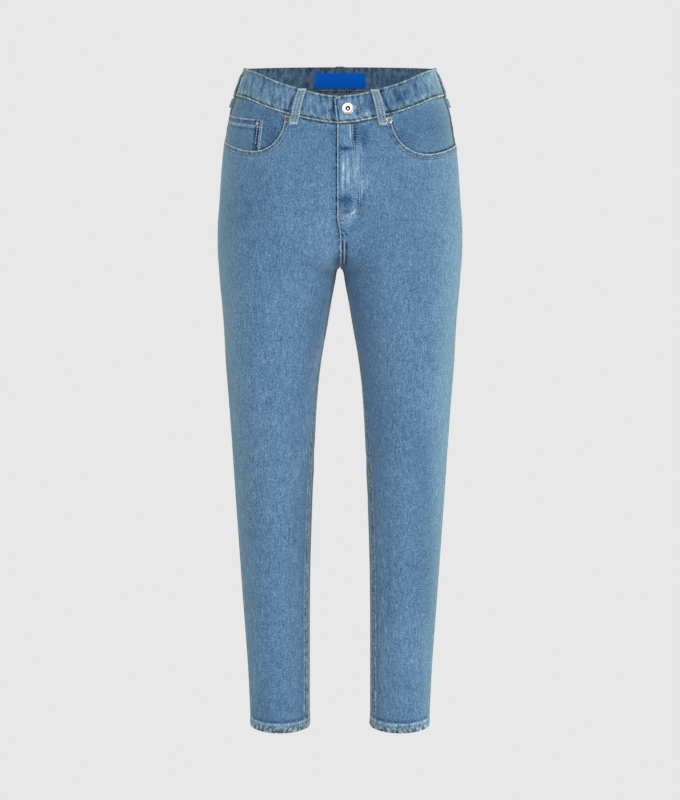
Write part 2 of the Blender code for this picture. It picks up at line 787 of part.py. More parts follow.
def button(name):
    """A round jeans button with a sunk middle."""
    rim, high, hole = BUTTON_RADIUS, BUTTON_HEIGHT, BUTTON_HOLE
    floor = high - 1.6
    profile = ((0, 0), (rim - 1.6, 0), (rim - 0.4, 0.9), (rim, 1.8), (rim - 0.7, high - 0.5),
               (rim - 2.2, high), (hole + 1.1, high - 0.2), (hole, floor + 0.6),
               (hole - 0.4, floor), (1.2, floor + 0.1), (0, floor + 0.5))
    return turned(name, 1, BUTTON_PLACE, BAND_PROUD + METAL_REST, profile, STEEL, 1.0)


def rivet(name, side, place, radius, height, lift, colour):
    """A domed rivet head with a raised rim."""
    profile = ((0, 0), (radius, 0), (radius, height * 0.55), (radius * 0.84, height),
               (radius * 0.62, height * 0.72), (radius * 0.34, height * 0.95), (0, height))
    return turned(name, side, place, lift, profile, colour, 1.0, around=14)


def label(name):
    """A plain woven label inside the back of the waistband."""
    outer, inner = [], []
    lift = BAND_PROUD - BAND_WALL - LABEL_CLEAR
    for height in (LABEL_TOP, (LABEL_TOP + LABEL_FOOT) / 2, LABEL_FOOT):
        outer_row, inner_row = [], []
        for share in np.linspace(-0.5, 0.5, 9):
            arc = LABEL_WIDTH * share
            outer_row.append(SKIN.point(1, "back", arc, height, lift))
            inner_row.append(SKIN.point(1, "back", arc, height, lift - LABEL_WALL))
        outer.append(outer_row)
        inner.append(inner_row)
    return solid_from_sheets(name, outer, inner, BLUE, rough=0.6)


def clear_scene():
    """Remove whatever the scene holds."""
    for item in list(bpy.data.objects):
        bpy.data.objects.remove(item, do_unlink=True)


def main():
    """Build every piece."""
    clear_scene()
    for word, side in (("left", 1), ("right", -1)):
        front_panel("front_" + word, side)
        back_panel("back_" + word, side)
        yoke("yoke_" + word, side)
        hip_facing("hip_facing_" + word, side)
        patch_pocket("back_pocket_" + word, side)
        rivet("rivet_" + word, side, RIVET_PLACES[side], RIVET_RADIUS, RIVET_HEIGHT, METAL_REST, STEEL)
    waistband("waistband")
    fly_facing("fly_facing")
    coin_pocket("coin_pocket", -1)
    for loop in LOOPS:
        belt_loop(loop)
    button("button")
    coin_lift = FACING_LIFT + COIN_CLEAR + COIN_WALL + METAL_REST
    rivet("rivet_coin", -1, COIN_RIVET_PLACE, COIN_RIVET_RADIUS, COIN_RIVET_HEIGHT, coin_lift, BRASS)
    label("label")


main()
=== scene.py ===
import logging
import math
from collections.abc import Callable, Sequence
from dataclasses import dataclass, field
from enum import Enum

import bmesh
import bpy
import numpy as np
from mathutils import Matrix, Vector

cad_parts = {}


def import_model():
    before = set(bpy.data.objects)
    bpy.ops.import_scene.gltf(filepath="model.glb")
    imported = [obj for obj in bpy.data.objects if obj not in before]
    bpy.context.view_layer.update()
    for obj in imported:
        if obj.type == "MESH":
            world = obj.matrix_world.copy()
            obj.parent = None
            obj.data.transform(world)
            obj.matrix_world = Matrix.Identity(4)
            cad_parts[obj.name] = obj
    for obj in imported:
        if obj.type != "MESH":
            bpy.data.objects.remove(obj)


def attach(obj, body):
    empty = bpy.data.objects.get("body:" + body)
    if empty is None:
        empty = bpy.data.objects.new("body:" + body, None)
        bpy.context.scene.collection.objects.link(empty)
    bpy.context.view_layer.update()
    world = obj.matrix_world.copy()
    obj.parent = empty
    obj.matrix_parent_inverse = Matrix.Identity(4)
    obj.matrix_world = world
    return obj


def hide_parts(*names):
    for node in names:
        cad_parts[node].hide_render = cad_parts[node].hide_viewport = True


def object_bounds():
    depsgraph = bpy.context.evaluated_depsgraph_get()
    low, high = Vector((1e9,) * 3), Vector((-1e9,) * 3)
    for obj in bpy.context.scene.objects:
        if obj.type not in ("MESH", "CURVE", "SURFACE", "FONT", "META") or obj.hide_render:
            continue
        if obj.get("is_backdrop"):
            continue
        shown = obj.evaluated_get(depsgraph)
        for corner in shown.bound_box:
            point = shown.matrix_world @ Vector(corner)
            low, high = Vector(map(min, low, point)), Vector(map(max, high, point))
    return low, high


# Mom jeans in washed denim: the looks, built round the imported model. Lengths are
# millimetres until a mesh is made. +X is the wearer's left, -Y the front, +Z up.

LOG = logging.getLogger("jeans")
METRE = 0.001
Array = np.ndarray


class Half(Enum):
    """Which half of the garment's ring a piece lies on."""

    FRONT = 0
    BACK = 1


class Side(Enum):
    """The wearer's side, with the sign of X there."""

    LEFT = 1
    RIGHT = -1

    @property
    def word(self) -> str:
        """The side's name as the nodes spell it."""
        return self.name.lower()


@dataclass(frozen=True)
class Section:
    """One level of the trousers, as the solids have it."""

    height: float
    outer: float
    gap: float
    front: float
    back: float
    middle: float
    square: float


@dataclass(frozen=True)
class SeamTurn:
    """Degrees by which the side and inner seams have turned to the front."""

    height: float
    side: float
    inner: float


@dataclass(frozen=True)
class Dip:
    """Drop of the waistband's top edge at a share of the half width."""

    share: float
    drop: float


SECTIONS = (
    Section(8, 136.0, 0, 83.0, 83.0, 0, 2.2),
    Section(0, 138.5, 0, 84.0, 84.5, 0, 2.2),
    Section(-20, 145.3, 0, 87.0, 88.0, 0, 2.2),
    Section(-40, 153.6, 0, 90.5, 93.0, 0, 2.2),
    Section(-60, 161.0, 0, 94.0, 99.0, 0, 2.2),
    Section(-87, 165.8, 0, 98.0, 107.5, 0, 2.2),
    Section(-115, 171.0, 0, 101.5, 116.5, 0, 2.2),
    Section(-150, 174.6, 0, 104.5, 125.0, 0, 2.2),
    Section(-190, 177.5, 0, 107.0, 130.5, 0, 2.2),
    Section(-230, 180.6, 0, 108.5, 130.5, 0, 2.2),
    Section(-263, 181.0, 0, 109.0, 126.5, 0, 2.15),
    Section(-287, 179.4, 0.3, 108.5, 120.5, 0, 2.1),
    Section(-293, 179.0, 5.0, 108.0, 118.5, 0, 2.1),
    Section(-308, 178.2, 7.6, 106.5, 113.5, -1, 2.05),
    Section(-338, 175.6, 13.4, 103.5, 105.5, -2, 2.0),
    Section(-368, 173.2, 18.4, 101.0, 100.0, -4, 2.0),
    Section(-428, 170.6, 28.3, 94.0, 92.0, -6, 2.0),
    Section(-489, 166.6, 34.4, 87.0, 86.0, -6, 2.0),
    Section(-550, 162.8, 37.8, 81.0, 80.0, -5, 2.0),
    Section(-643, 157.6, 41.8, 74.0, 72.5, -3, 2.0),
    Section(-706, 153.9, 44.0, 69.0, 68.5, -1, 2.0),
    Section(-770, 150.2, 45.6, 64.0, 64.5, 1, 2.0),
    Section(-834, 146.2, 46.2, 58.5, 60.5, 2, 2.0),
    Section(-898, 142.2, 46.4, 53.0, 56.0, 3, 2.0),
    Section(-963, 139.4, 46.6, 47.5, 51.5, 3, 2.0),
    Section(-1000, 138.2, 46.6, 44.5, 49.5, 3, 2.0),
)

SEAM_TURNS = (
    SeamTurn(8, 0, 0),
    SeamTurn(-230, 0, 0),
    SeamTurn(-330, 9, 2),
    SeamTurn(-480, 15, 16),
    SeamTurn(-640, 17, 26),
    SeamTurn(-1000, 17, 28),
)

FRONT_DIP = (
    Dip(0.0, 34.0),
    Dip(0.15, 31.8),
    Dip(0.3, 27.2),
    Dip(0.45, 21.5),
    Dip(0.6, 15.3),
    Dip(0.72, 9.2),
    Dip(0.82, 3.7),
    Dip(0.92, -0.6),
    Dip(1.0, -2.2),
)

# Cloth
WALL = 1.4
BAND_WALL = 2.8
BAND_PROUD = 0.8
HEM_WALL = 3.6
HEM_DEPTH = 15.0
SEAM_GAP = 0.12
BUTT_GAP = 0.3

# Levels and lengths down the garment
TOP_LEVEL = 8.0
CROTCH = -287.0
HEM = -1000.0
SADDLE = 120.0
SADDLE_POWER = 1.5
CREASE_SOFT = 72.0
SEAT_LEVEL = -150.0
BLEND_TOP = -215.0
BLEND_FOOT = -430.0
BAND_LEVEL = -20.0
FRONT_SEAM_LEVEL = -60.0
BACK_SEAM_LEVEL = -40.0
HIP_LEVEL = -107.0

# Waistband
BAND_HEIGHT = 38.5
SIDE_RISE = 2.2
BACK_RISE = 3.4
OVERLAP_TOP = 8.6
OVERLAP_FOOT = 4.3
OVERLAP_CHAMFER = 5.0
UNDERLAP = 22.0
UNDERLAP_EASE = 30.0

# Fly
FLY_EDGE = 4.0
FLY_WIDTH = 22.0
FLY_FOOT = -213.0
FLY_TURN = 23.0
FLY_EASE_TOP = -205.0
FLY_EASE_FOOT = -232.0
FLY_RAISE = 1.2
FLY_STEP = 2.2
FLY_EASE_IN = 14.0
FLY_BEND = -92.0
FLY_BEND_RUN = 14.0
FLY_ROW_SWEEP = 0.46 * math.pi
# Each row of stitching: its arc at the waist, its arc below the bend, and its drop
FLY_ROWS = ((17.8, 21.0, 20.0), (22.8, 27.4, 25.5))
FLY_FACING_CLEAR = 0.5

# Front pocket mouths and what shows in them
MOUTH_TOP = -60.0
MOUTH_RISE = 9.0
MOUTH_RISE_RUN = 42.0
MOUTH_CLEAR = 1.0
FACING_UNDER = 13.0
FACING_LIFT = -2.3
FACING_WALL = 1.2
COIN_LEFT = 115.5
COIN_TOP_SIDE = -63.0
COIN_TOP_INNER = -68.5
COIN_WALL = 1.3
COIN_CLEAR = 0.55
COIN_FOOT_GAP = 0.8

# Back yoke and patch pockets
YOKE_SIDE = -80.0
YOKE_CENTRE = -116.0
PATCH_INNER = 44.0
PATCH_WIDTH = 138.0
PATCH_TOP_INNER = -134.0
PATCH_TOP_OUTER = -128.0
PATCH_CORNER = -252.0
PATCH_POINT = -274.0
PATCH_TAPER = 9.0
PATCH_LEVEL = -190.0
PATCH_WALL = 1.3
PATCH_CLEAR = 0.9
PATCH_REACH = 0.5

# Belt loops
LOOP_WIDTH = 12.0
LOOP_WALL = 1.8
LOOP_REST = 0.35
LOOP_SEAT_RISE = 0.3
LOOP_TACK_CLEAR = 2.5
LOOP_OPEN = 3.0

# Label inside the back of the waistband
LABEL_WIDTH = 76.0
LABEL_TOP = -5.0
LABEL_FOOT = -27.5
LABEL_WALL = 0.6
LABEL_CLEAR = 0.4


@dataclass(frozen=True)
class Mouth:
    """A front pocket's mouth: where it leaves the waist seam, its low and depth."""

    start: float
    low: float
    depth: float


MOUTHS = {Side.LEFT: Mouth(72.5, 127.0, 57.0), Side.RIGHT: Mouth(78.5, 124.5, 52.5)}


def smooth_step(share: Array | float) -> Array:
    """Ease from 0 to 1."""
    share = np.clip(share, 0.0, 1.0)
    return share * share * (3.0 - 2.0 * share)


def hump(apart: Array, width: float) -> Array:
    """A soft hump: 1 in its middle, and fallen to about a third at this width."""
    return np.exp(-((apart / width) ** 2))


def ripple(run: Array, spacing: float, seed: float) -> Array:
    """An uneven wave, from about -1 to 1.

    Args:
        run: Distance along the wave, in mm.
        spacing: Usual distance from crest to crest, in mm.
        seed: Shifts the wave, so that no two lines match.

    Returns:
        The wave's height at each distance.
    """
    turn = 2.0 * math.pi * run / spacing
    wave = np.sin(turn + 1.3 * np.sin(0.31 * turn + seed) + seed)
    wave = wave + 0.55 * np.sin(0.57 * turn + 2.1 * seed)
    return wave * (0.62 + 0.25 * np.sin(0.17 * turn + 3.7 * seed))


class Curve:
    """A smooth curve through a table's rows that never overshoots them."""

    def __init__(self, xs: Sequence[float], ys: Sequence[float]) -> None:
        """Set the slopes at the rows.

        Args:
            xs: Places of the rows, in any order.
            ys: Values there.
        """
        order = np.argsort(xs)
        self.xs = np.array(xs, dtype=float)[order]
        self.ys = np.array(ys, dtype=float)[order]
        steps = np.diff(self.xs)
        rises = np.diff(self.ys) / steps
        slopes = np.zeros(len(self.xs))
        slopes[0] = rises[0]
        slopes[-1] = rises[-1]
        for i in range(1, len(slopes) - 1):
            before, after = rises[i - 1], rises[i]
            if before * after > 0:
                first = 2 * steps[i] + steps[i - 1]
                second = steps[i] + 2 * steps[i - 1]
                slopes[i] = (first + second) / (first / before + second / after)
        self.slopes = slopes

    def __call__(self, x: Array | float) -> Array:
        """The curve's value at x, held level past both ends."""
        x = np.clip(x, self.xs[0], self.xs[-1])
        i = np.clip(np.searchsorted(self.xs, x, side="right") - 1, 0, len(self.xs) - 2)
        step = self.xs[i + 1] - self.xs[i]
        t = (x - self.xs[i]) / step
        start = self.ys[i] * (1 + 2 * t) * (1 - t) ** 2
        end = self.ys[i + 1] * t * t * (3 - 2 * t)
        lean_in = self.slopes[i] * step * t * (1 - t) ** 2
        lean_out = self.slopes[i + 1] * step * t * t * (t - 1)
        return start + end + lean_in + lean_out


def column(rows: Sequence[object], place: str, name: str) -> Curve:
    """A curve through a table's named column, against its column of places."""
    return Curve([getattr(r, place) for r in rows], [getattr(r, name) for r in rows])


@dataclass(frozen=True)
class Ground:
    """Places on the skin: side's sign, half's number, arc and height, as arrays."""

    side: Array
    half: Array
    arc: Array
    height: Array


class Skin:
    """The outer surface of the trousers, the same as the solids are made from."""

    SAMPLES = 200
    SHARES = 301
    STEP = 1.0
    SOFT_REACH = 24

    def __init__(self) -> None:
        """Work out each half ring at every level, evenly by arc, with its normals."""
        names = ("outer", "gap", "front", "back", "middle", "square")
        self.columns = {name: column(SECTIONS, "height", name) for name in names}
        self.side_turn = column(SEAM_TURNS, "height", "side")
        self.inner_turn = column(SEAM_TURNS, "height", "inner")
        self.levels = np.arange(HEM - 4.0, TOP_LEVEL + self.STEP, self.STEP)
        rings = []
        lengths = []
        for half in Half:
            made = [self.ring(half, level) for level in self.levels]
            rings.append([points for points, _ in made])
            lengths.append([length for _, length in made])
        self.rings = self.soften(np.array(rings))
        self.lengths = np.array(lengths)
        self.normals = self.find_normals()

    def ring(self, half: Half, height: float) -> tuple[Array, float]:
        """One half ring on the +X side, from the centre or inner seam to the side.

        Args:
            half: Front or back.
            height: Level in mm.

        Returns:
            Points evenly spaced by arc, and the whole arc.
        """
        at = {name: float(curve(height)) for name, curve in self.columns.items()}
        outer, gap, square = at["outer"], at["gap"], 2.0 / at["square"]
        above = height - CROTCH
        soft = 0.0
        if above > 0:
            part = max(0.0, 1.0 - above / SADDLE) ** SADDLE_POWER
            radius = outer / (1.0 + part)
            centre = part * radius
            soft = CREASE_SOFT * part * (1.0 - part)
            lean = (soft - centre) / radius
            turn = math.acos(max(-1.0, math.copysign(abs(lean) ** (1.0 / square), lean)))
            sweep = turn if half is Half.FRONT else -turn
        else:
            radius = (outer - gap) / 2.0
            centre = (outer + gap) / 2.0
            inner = math.radians(float(self.inner_turn(height)))
            sweep = math.pi - inner if half is Half.FRONT else -math.pi - inner
        side = math.radians(float(self.side_turn(height)))
        angles = np.linspace(sweep, side, self.SAMPLES)
        cosines, sines = np.cos(angles), np.sin(angles)
        across = centre + radius * np.sign(cosines) * np.abs(cosines) ** square
        if above > 0:
            inside = np.maximum(across**2 - soft**2, 0.0)
            across = outer * np.sqrt(inside / (outer**2 - soft**2))
        depth = np.where(sines >= 0, -at["front"], at["back"])
        along = at["middle"] + depth * np.abs(sines) ** square
        arcs = np.concatenate([[0.0], np.cumsum(np.hypot(np.diff(across), np.diff(along)))])
        even = np.linspace(0.0, arcs[-1], self.SHARES)
        xs = np.interp(even, arcs, across)
        ys = np.interp(even, arcs, along)
        return np.column_stack([xs, ys, np.full(self.SHARES, height)]), float(arcs[-1])

    def soften(self, rings: Array) -> Array:
        """Round off the bend at the crotch's level, away from the centre seam.

        Args:
            rings: Points of the half rings, level by level.

        Returns:
            The points, with the bend eased over the levels round it.
        """
        reach = self.SOFT_REACH
        weights = np.hanning(2 * reach + 3)[1:-1]
        weights /= weights.sum()
        padded = np.pad(rings, ((0, 0), (reach, reach), (0, 0), (0, 0)), mode="edge")
        soft = sum(w * padded[:, k:k + rings.shape[1]] for k, w in enumerate(weights))
        soft[..., 2] = rings[..., 2]
        share = smooth_step((np.linspace(0.0, 1.0, self.SHARES) - 0.08) / 0.22)
        level = 1.0 - smooth_step((np.abs(self.levels - CROTCH) - 30.0) / 30.0)
        blend = share[None, None, :, None] * level[None, :, None, None]
        return rings + (soft - rings) * blend

    def find_normals(self) -> Array:
        """Outward directions at every point of the rings."""
        reach = 2
        around = np.gradient(self.rings, axis=2)
        around[:, :, reach:-reach] = (
            self.rings[:, :, 2 * reach:] - self.rings[:, :, : -2 * reach]
        )
        upward = np.gradient(self.rings, axis=1)
        out = np.cross(upward, around)
        out[Half.FRONT.value] *= -1.0
        return out / np.linalg.norm(out, axis=3, keepdims=True)

    def length(self, half: Half, height: Array | float) -> Array:
        """Arc from the centre or inner seam to the side seam at each height."""
        return np.interp(height, self.levels, self.lengths[half.value])

    def look_up(self, table: Array, ground: Ground, share: Array) -> Array:
        """Values of a table over the rings, between its rows and columns.

        Args:
            table: Values at every half, level and point of the rings.
            ground: Places on the skin.
            share: Share of the half ring at each place.

        Returns:
            The value at each place.
        """
        row = np.clip((ground.height - self.levels[0]) / self.STEP, 0, len(self.levels) - 1.001)
        col = np.clip(share, 0.0, 1.0) * (self.SHARES - 1.001)
        i, j = row.astype(int), col.astype(int)
        up, on = (row - i)[..., None], (col - j)[..., None]
        half = ground.half
        low = table[half, i, j] * (1 - on) + table[half, i, j + 1] * on
        high = table[half, i + 1, j] * (1 - on) + table[half, i + 1, j + 1] * on
        return low * (1 - up) + high * up

    def place(self, ground: Ground, lift: Array | float = 0.0) -> Array:
        """Points over the skin; an arc below 0 runs past the centre.

        Args:
            ground: Places on the skin.
            lift: Distance above it in mm.

        Returns:
            Points in mm, with X signed by side.
        """
        arc = np.abs(ground.arc)
        front = np.interp(ground.height, self.levels, self.lengths[0])
        back = np.interp(ground.height, self.levels, self.lengths[1])
        share = arc / np.where(ground.half == 0, front, back)
        points = self.look_up(self.rings, ground, share)
        normals = self.look_up(self.normals, ground, share)
        normals /= np.linalg.norm(normals, axis=-1, keepdims=True)
        points = points + normals * np.asarray(lift)[..., None]
        points[..., 0] *= np.where(ground.arc < 0, -ground.side, ground.side)
        return points

    def across(self, half: Half, share: Array, height: float) -> Array:
        """Distance from the centre plane at shares of one ring."""
        level = int(round((height - self.levels[0]) / self.STEP))
        marks = np.linspace(0.0, 1.0, self.SHARES)
        return np.interp(share, marks, self.rings[half.value, level, :, 0])

    def arc_at(self, half: Half, across: Array | float, height: Array | float) -> Array:
        """Arc at which the ring is this far from the centre plane, above the crotch.

        Args:
            half: Front or back.
            across: Distance from the centre plane.
            height: Level of each place.

        Returns:
            The arc from the centre at each place.
        """
        across, height = np.broadcast_arrays(np.asarray(across, float), height)
        levels = np.clip(np.round((height - self.levels[0]) / self.STEP), 0, None).astype(int)
        found = [
            np.interp(x, self.rings[half.value, k, :, 0], np.linspace(0, 1, self.SHARES))
            for x, k in zip(across.ravel(), levels.ravel())
        ]
        shares = np.array(found).reshape(across.shape)
        return shares * self.length(half, height)


SKIN = Skin()
DIP = column(FRONT_DIP, "share", "drop")
OUTER = SKIN.columns["outer"]


def band_top(half: Half, share: Array | float) -> Array:
    """Height of the band's top edge, by share of the half width from the centre."""
    if half is Half.FRONT:
        return -DIP(share)
    return SIDE_RISE + (BACK_RISE - SIDE_RISE) * (1.0 - np.asarray(share) ** 2)


def waist_seam(half: Half, across: Array | float) -> Array:
    """Height of the band's foot at a distance from the centre plane."""
    level = FRONT_SEAM_LEVEL if half is Half.FRONT else BACK_SEAM_LEVEL
    share = np.minimum(1.0, np.abs(across) / OUTER(level))
    return band_top(half, share) - BAND_HEIGHT


def mouth_height(mouth: Mouth, across: Array, under: float = 0.0) -> Array:
    """Height of a pocket mouth, or of a line this far under it.

    Args:
        mouth: The mouth.
        across: Distance from the centre plane.
        under: Distance below the mouth.

    Returns:
        The height at each place across.
    """
    share = (mouth.low - across) / (mouth.low - mouth.start + under)
    fall = np.sqrt(np.clip(1.0 - share**2, 0.0, 1.0))
    curve = MOUTH_TOP - (mouth.depth + under) * fall
    rise = MOUTH_RISE * ((across - mouth.low) / MOUTH_RISE_RUN) ** 2
    flat = MOUTH_TOP - mouth.depth - under + rise
    return np.where(across < mouth.low, curve, flat)


def fly_edge(height: Array) -> Array:
    """Distance of the fly's edge past the centre."""
    share = (height - FLY_EASE_FOOT) / (FLY_EASE_TOP - FLY_EASE_FOOT)
    return FLY_EDGE * smooth_step(share)


def graded(total: float, fine: float, coarse: float, band: float, start: bool = True,
           end: bool = True) -> Array:
    """Shares from 0 to 1, close together near the ends.

    Args:
        total: Whole length in mm.
        fine: Spacing near an end.
        coarse: Spacing elsewhere.
        band: How far the fine spacing runs in from an end.
        start: Whether the first end is fine.
        end: Whether the last end is fine.

    Returns:
        An odd number of shares, so that the spans pair up.
    """
    low = np.arange(0.0, band, fine) if start else np.array([])
    high = total - np.arange(0.0, band, fine)[::-1] if end else np.array([])
    first = band if start else 0.0
    last = total - band if end else total
    count = max(2, int(round((last - first) / coarse)))
    if (len(low) + len(high) + count) % 2 == 0:
        count += 1
    middle = np.linspace(first, last, count)
    return np.concatenate([low, middle, high]) / total


@dataclass(frozen=True)
class SeamStyle:
    """How a sewn edge looks. Lengths are mm, and strengths run from 0 to 1.

    A stripe beside the edge is given as its distance, half width and strength;
    a strength below 0 is darker, and a dark stripe at the edge itself is painted shade.
    """

    ridge: float = 0.0
    ridge_width: float = 2.0
    pale: float = 0.6
    rope: float = 0.5
    reach: float = 9.0
    pucker: float = 0.25
    spacing: float = 6.0
    slant: float = 0.0
    rows: tuple[float, ...] = ()
    rounding: float = 0.5
    stripes: tuple[tuple[float, float, float], ...] = ()


class Sewing(Enum):
    """The ways in which this garment's edges are sewn."""

    # A dark stripe at or right beside the edge is painted shade, in a seam's gap or under a piece
    # that laps over
    OUTSEAM = SeamStyle(ridge=0.35, ridge_width=6.0, pale=0.2, rope=0.55, reach=9.0,
                        pucker=0.25, spacing=9.0,
                        stripes=((0.0, 1.7, -0.24), (5.0, 2.2, 0.10), (9.5, 3.0, -0.05)))
    INSEAM = SeamStyle(ridge=0.55, ridge_width=8.5, pale=0.3, rope=1.15, reach=11.0,
                       pucker=0.30, spacing=9.0, slant=0.7, rows=(1.6, 7.6),
                       stripes=((0.0, 1.2, -0.12), (4.6, 2.2, -0.10)))
    INSEAM_UNDER = SeamStyle(pale=0.0, rope=1.0, reach=9.0, pucker=0.2, spacing=9.0, rounding=0.15,
                             stripes=((0.0, 2.0, -0.20), (5.5, 2.4, 0.12), (10.0, 2.5, -0.07)))
    RISE = SeamStyle(ridge=0.5, ridge_width=7.4, pale=0.55, rope=0.5, reach=9.0,
                     pucker=0.2, spacing=8.0, rows=(1.5, 6.4),
                     stripes=((1.5, 1.0, 0.10), (4.0, 1.3, -0.36), (6.4, 1.1, 0.22),
                              (9.2, 1.8, -0.26)))
    RISE_UNDER = SeamStyle(pale=0.10, rope=0.35, reach=6.0, pucker=0.2, spacing=8.0,
                           stripes=((0.0, 2.6, -0.28),))
    # The hem's last stripe is a painted shadow under its folded edge
    HEM = SeamStyle(ridge=0.45, ridge_width=12.5, pale=0.2, rope=1.35, reach=20.0,
                    pucker=0.65, spacing=7.6, slant=0.35, rows=(12.8,), rounding=1.5,
                    stripes=((7.0, 7.5, 0.08), (14.8, 1.4, 0.28), (19.0, 2.6, -0.16),
                             (0.0, 0.9, -0.25)))
    MOUTH = SeamStyle(ridge=0.45, ridge_width=8.6, pale=1.0, rope=0.62, reach=10.0,
                      pucker=0.22, spacing=4.0, slant=0.3, rows=(6.6,), rounding=0.7,
                      stripes=((6.6, 1.5, -0.26), (10.5, 2.0, 0.04)))
    BAND_END = SeamStyle(ridge=0.4, ridge_width=3.8, pale=1.0, rope=0.5, reach=8.0,
                         pucker=0.12, spacing=6.0, rounding=0.9, stripes=((3.6, 1.2, -0.16),))
    FLY = SeamStyle(ridge=0.3, ridge_width=3.2, pale=1.0, rope=0.30, reach=8.0,
                    pucker=0.15, spacing=6.0, rounding=0.7)
    # Its dark stripe is a painted shadow of the fly's edge
    FLY_UNDER = SeamStyle(pale=0.0, rope=0.2, reach=5.0, pucker=0.1, rounding=0.2,
                          stripes=((0.3, 1.9, -0.46), (6.0, 3.0, -0.05)))
    # Its dark stripe at the edge is a painted shadow under the waistband
    WAIST = SeamStyle(pale=0.0, rope=0.5, reach=9.0, pucker=0.3, spacing=7.0, slant=0.5,
                      stripes=((0.0, 1.6, -0.42), (5.0, 2.5, 0.05)))
    YOKE = SeamStyle(ridge=0.5, ridge_width=8.4, pale=0.6, rope=0.6, reach=10.0,
                     pucker=0.25, spacing=6.0, slant=0.5, rows=(1.7, 7.7),
                     stripes=((4.7, 1.5, -0.10), (10.5, 1.8, -0.08)))
    BAND_TOP = SeamStyle(ridge=0.2, ridge_width=2.4, pale=0.80, rope=0.65, reach=10.0,
                         pucker=0.20, spacing=6.0, slant=0.9, rounding=0.9,
                         stripes=((4.5, 1.8, -0.06),))
    BAND_FOOT = SeamStyle(ridge=0.2, ridge_width=2.4, pale=0.95, rope=0.85, reach=14.0,
                          pucker=0.35, spacing=5.5, slant=0.9, rounding=0.9,
                          stripes=((3.4, 1.2, -0.20), (8.0, 2.5, 0.06)))
    POCKET_TOP = SeamStyle(ridge=0.4, ridge_width=9.5, pale=0.9, rope=0.6, reach=11.0,
                           pucker=0.25, spacing=4.5, rows=(9.0,), rounding=0.6,
                           stripes=((5.0, 2.0, -0.14), (11.0, 1.5, 0.22), (14.0, 1.6, -0.16)))
    POCKET = SeamStyle(ridge=0.35, ridge_width=7.8, pale=0.9, rope=0.6, reach=9.0,
                       pucker=0.2, spacing=4.5, slant=0.4, rows=(3.2, 7.8), rounding=0.6,
                       stripes=((5.5, 1.3, -0.26), (10.4, 1.7, -0.20)))
    LOOP = SeamStyle(ridge=0.3, ridge_width=1.4, pale=0.8, rope=0.5, reach=5.0,
                     pucker=0.12, spacing=4.0, rows=(2.6,), rounding=0.6,
                     stripes=((2.9, 0.9, -0.05),))
    SHADOW = SeamStyle(pale=0.0, rope=0.0, reach=1.0, pucker=0.0, rounding=0.01,
                       stripes=((0.0, 1.8, -0.42),))
    PLAIN = SeamStyle(pale=0.2, rope=0.2, reach=4.0, pucker=0.05, rounding=0.4)


@dataclass(frozen=True)
class Seam:
    """A sewn edge on one piece: its line in the piece's flat (across, up) places."""

    sewing: Sewing
    line: Array
    inward: int
    seed: float = 0.0
    stitched: bool = True
    skip: tuple[float, float] = (0.0, 0.0)

    def measure(self, across: Array, up: Array) -> tuple[Array, Array]:
        """Distance from the line, and distance along it, at each place.

        Args:
            across: Flat places across.
            up: Flat places up.

        Returns:
            Distance from the line, and distance along it.
        """
        start, end = self.line[:-1], self.line[1:]
        steps = end - start
        spans = np.maximum(np.hypot(*steps.T), 1e-6)
        runs = np.concatenate([[0.0], np.cumsum(spans)])[:-1]
        best = np.full(across.shape, 1e9)
        run = np.zeros(across.shape)
        for (x, y), (dx, dy), span, begun in zip(start, steps, spans, runs):
            share = ((across - x) * dx + (up - y) * dy) / span**2
            share = np.clip(share, 0.0, 1.0)
            apart = np.hypot(across - x - dx * share, up - y - dy * share)
            nearer = apart < best
            best = np.where(nearer, apart, best)
            run = np.where(nearer, begun + span * share, run)
        return best, run

    def offset(self, inset: float, spacing: float) -> Array:
        """Points along the line moved into the piece, at an even spacing.

        Args:
            inset: How far in they lie.
            spacing: Distance from one to the next.

        Returns:
            Their flat places, a row each.
        """
        steps = np.gradient(self.line, axis=0)
        steps /= np.maximum(np.hypot(*steps.T), 1e-9)[:, None]
        moved = self.line + self.inward * inset * np.column_stack([-steps[:, 1], steps[:, 0]])
        runs = np.concatenate([[0.0], np.cumsum(np.hypot(*np.diff(moved, axis=0).T))])
        first, last = self.skip[0] + inset, runs[-1] - self.skip[1] - inset
        marks = np.arange(first, last, spacing)
        return np.column_stack([np.interp(marks, runs, moved[:, k]) for k in (0, 1)])


@dataclass(frozen=True)
class Fade:
    """A patch of wear, darkness, painted light or painted shade, by its middle and half sizes in
    flat places.
    """

    across: float
    up: float
    half_across: float
    half_up: float
    strength: float


@dataclass(frozen=True)
class Crease:
    """A soft fold from one flat place to another; a depth below 0 is a trough."""

    across: float
    up: float
    to_across: float
    to_up: float
    width: float
    depth: float


def linear(code: str) -> tuple[float, float, float, float]:
    """A colour given as sRGB hex, made linear."""
    parts = [int(code[k:k + 2], 16) / 255.0 for k in (1, 3, 5)]
    made = [p / 12.92 if p <= 0.04045 else ((p + 0.055) / 1.055) ** 2.4 for p in parts]
    return (made[0], made[1], made[2], 1.0)


def set_stops(ramp: bpy.types.ColorRamp, stops: Sequence[tuple[float, str]]) -> None:
    """Give a colour ramp its stops, each a place and an sRGB hex colour, in order."""
    while len(ramp.elements) < len(stops):
        ramp.elements.new(1.0)
    for element, (place, code) in zip(ramp.elements, stops):
        element.position = place
        element.color = linear(code)


def feed(tree: bpy.types.NodeTree, node: bpy.types.Node, values: dict) -> None:
    """Link or set a node's inputs.

    Args:
        tree: The material's node tree.
        node: The node to feed.
        values: For each input, by name or number, a plain value, a socket, or a
            node that stands for its first output.
    """
    for key, value in values.items():
        source = value.outputs[0] if isinstance(value, bpy.types.Node) else value
        if isinstance(source, bpy.types.NodeSocket):
            tree.links.new(source, node.inputs[key])
        else:
            node.inputs[key].default_value = source


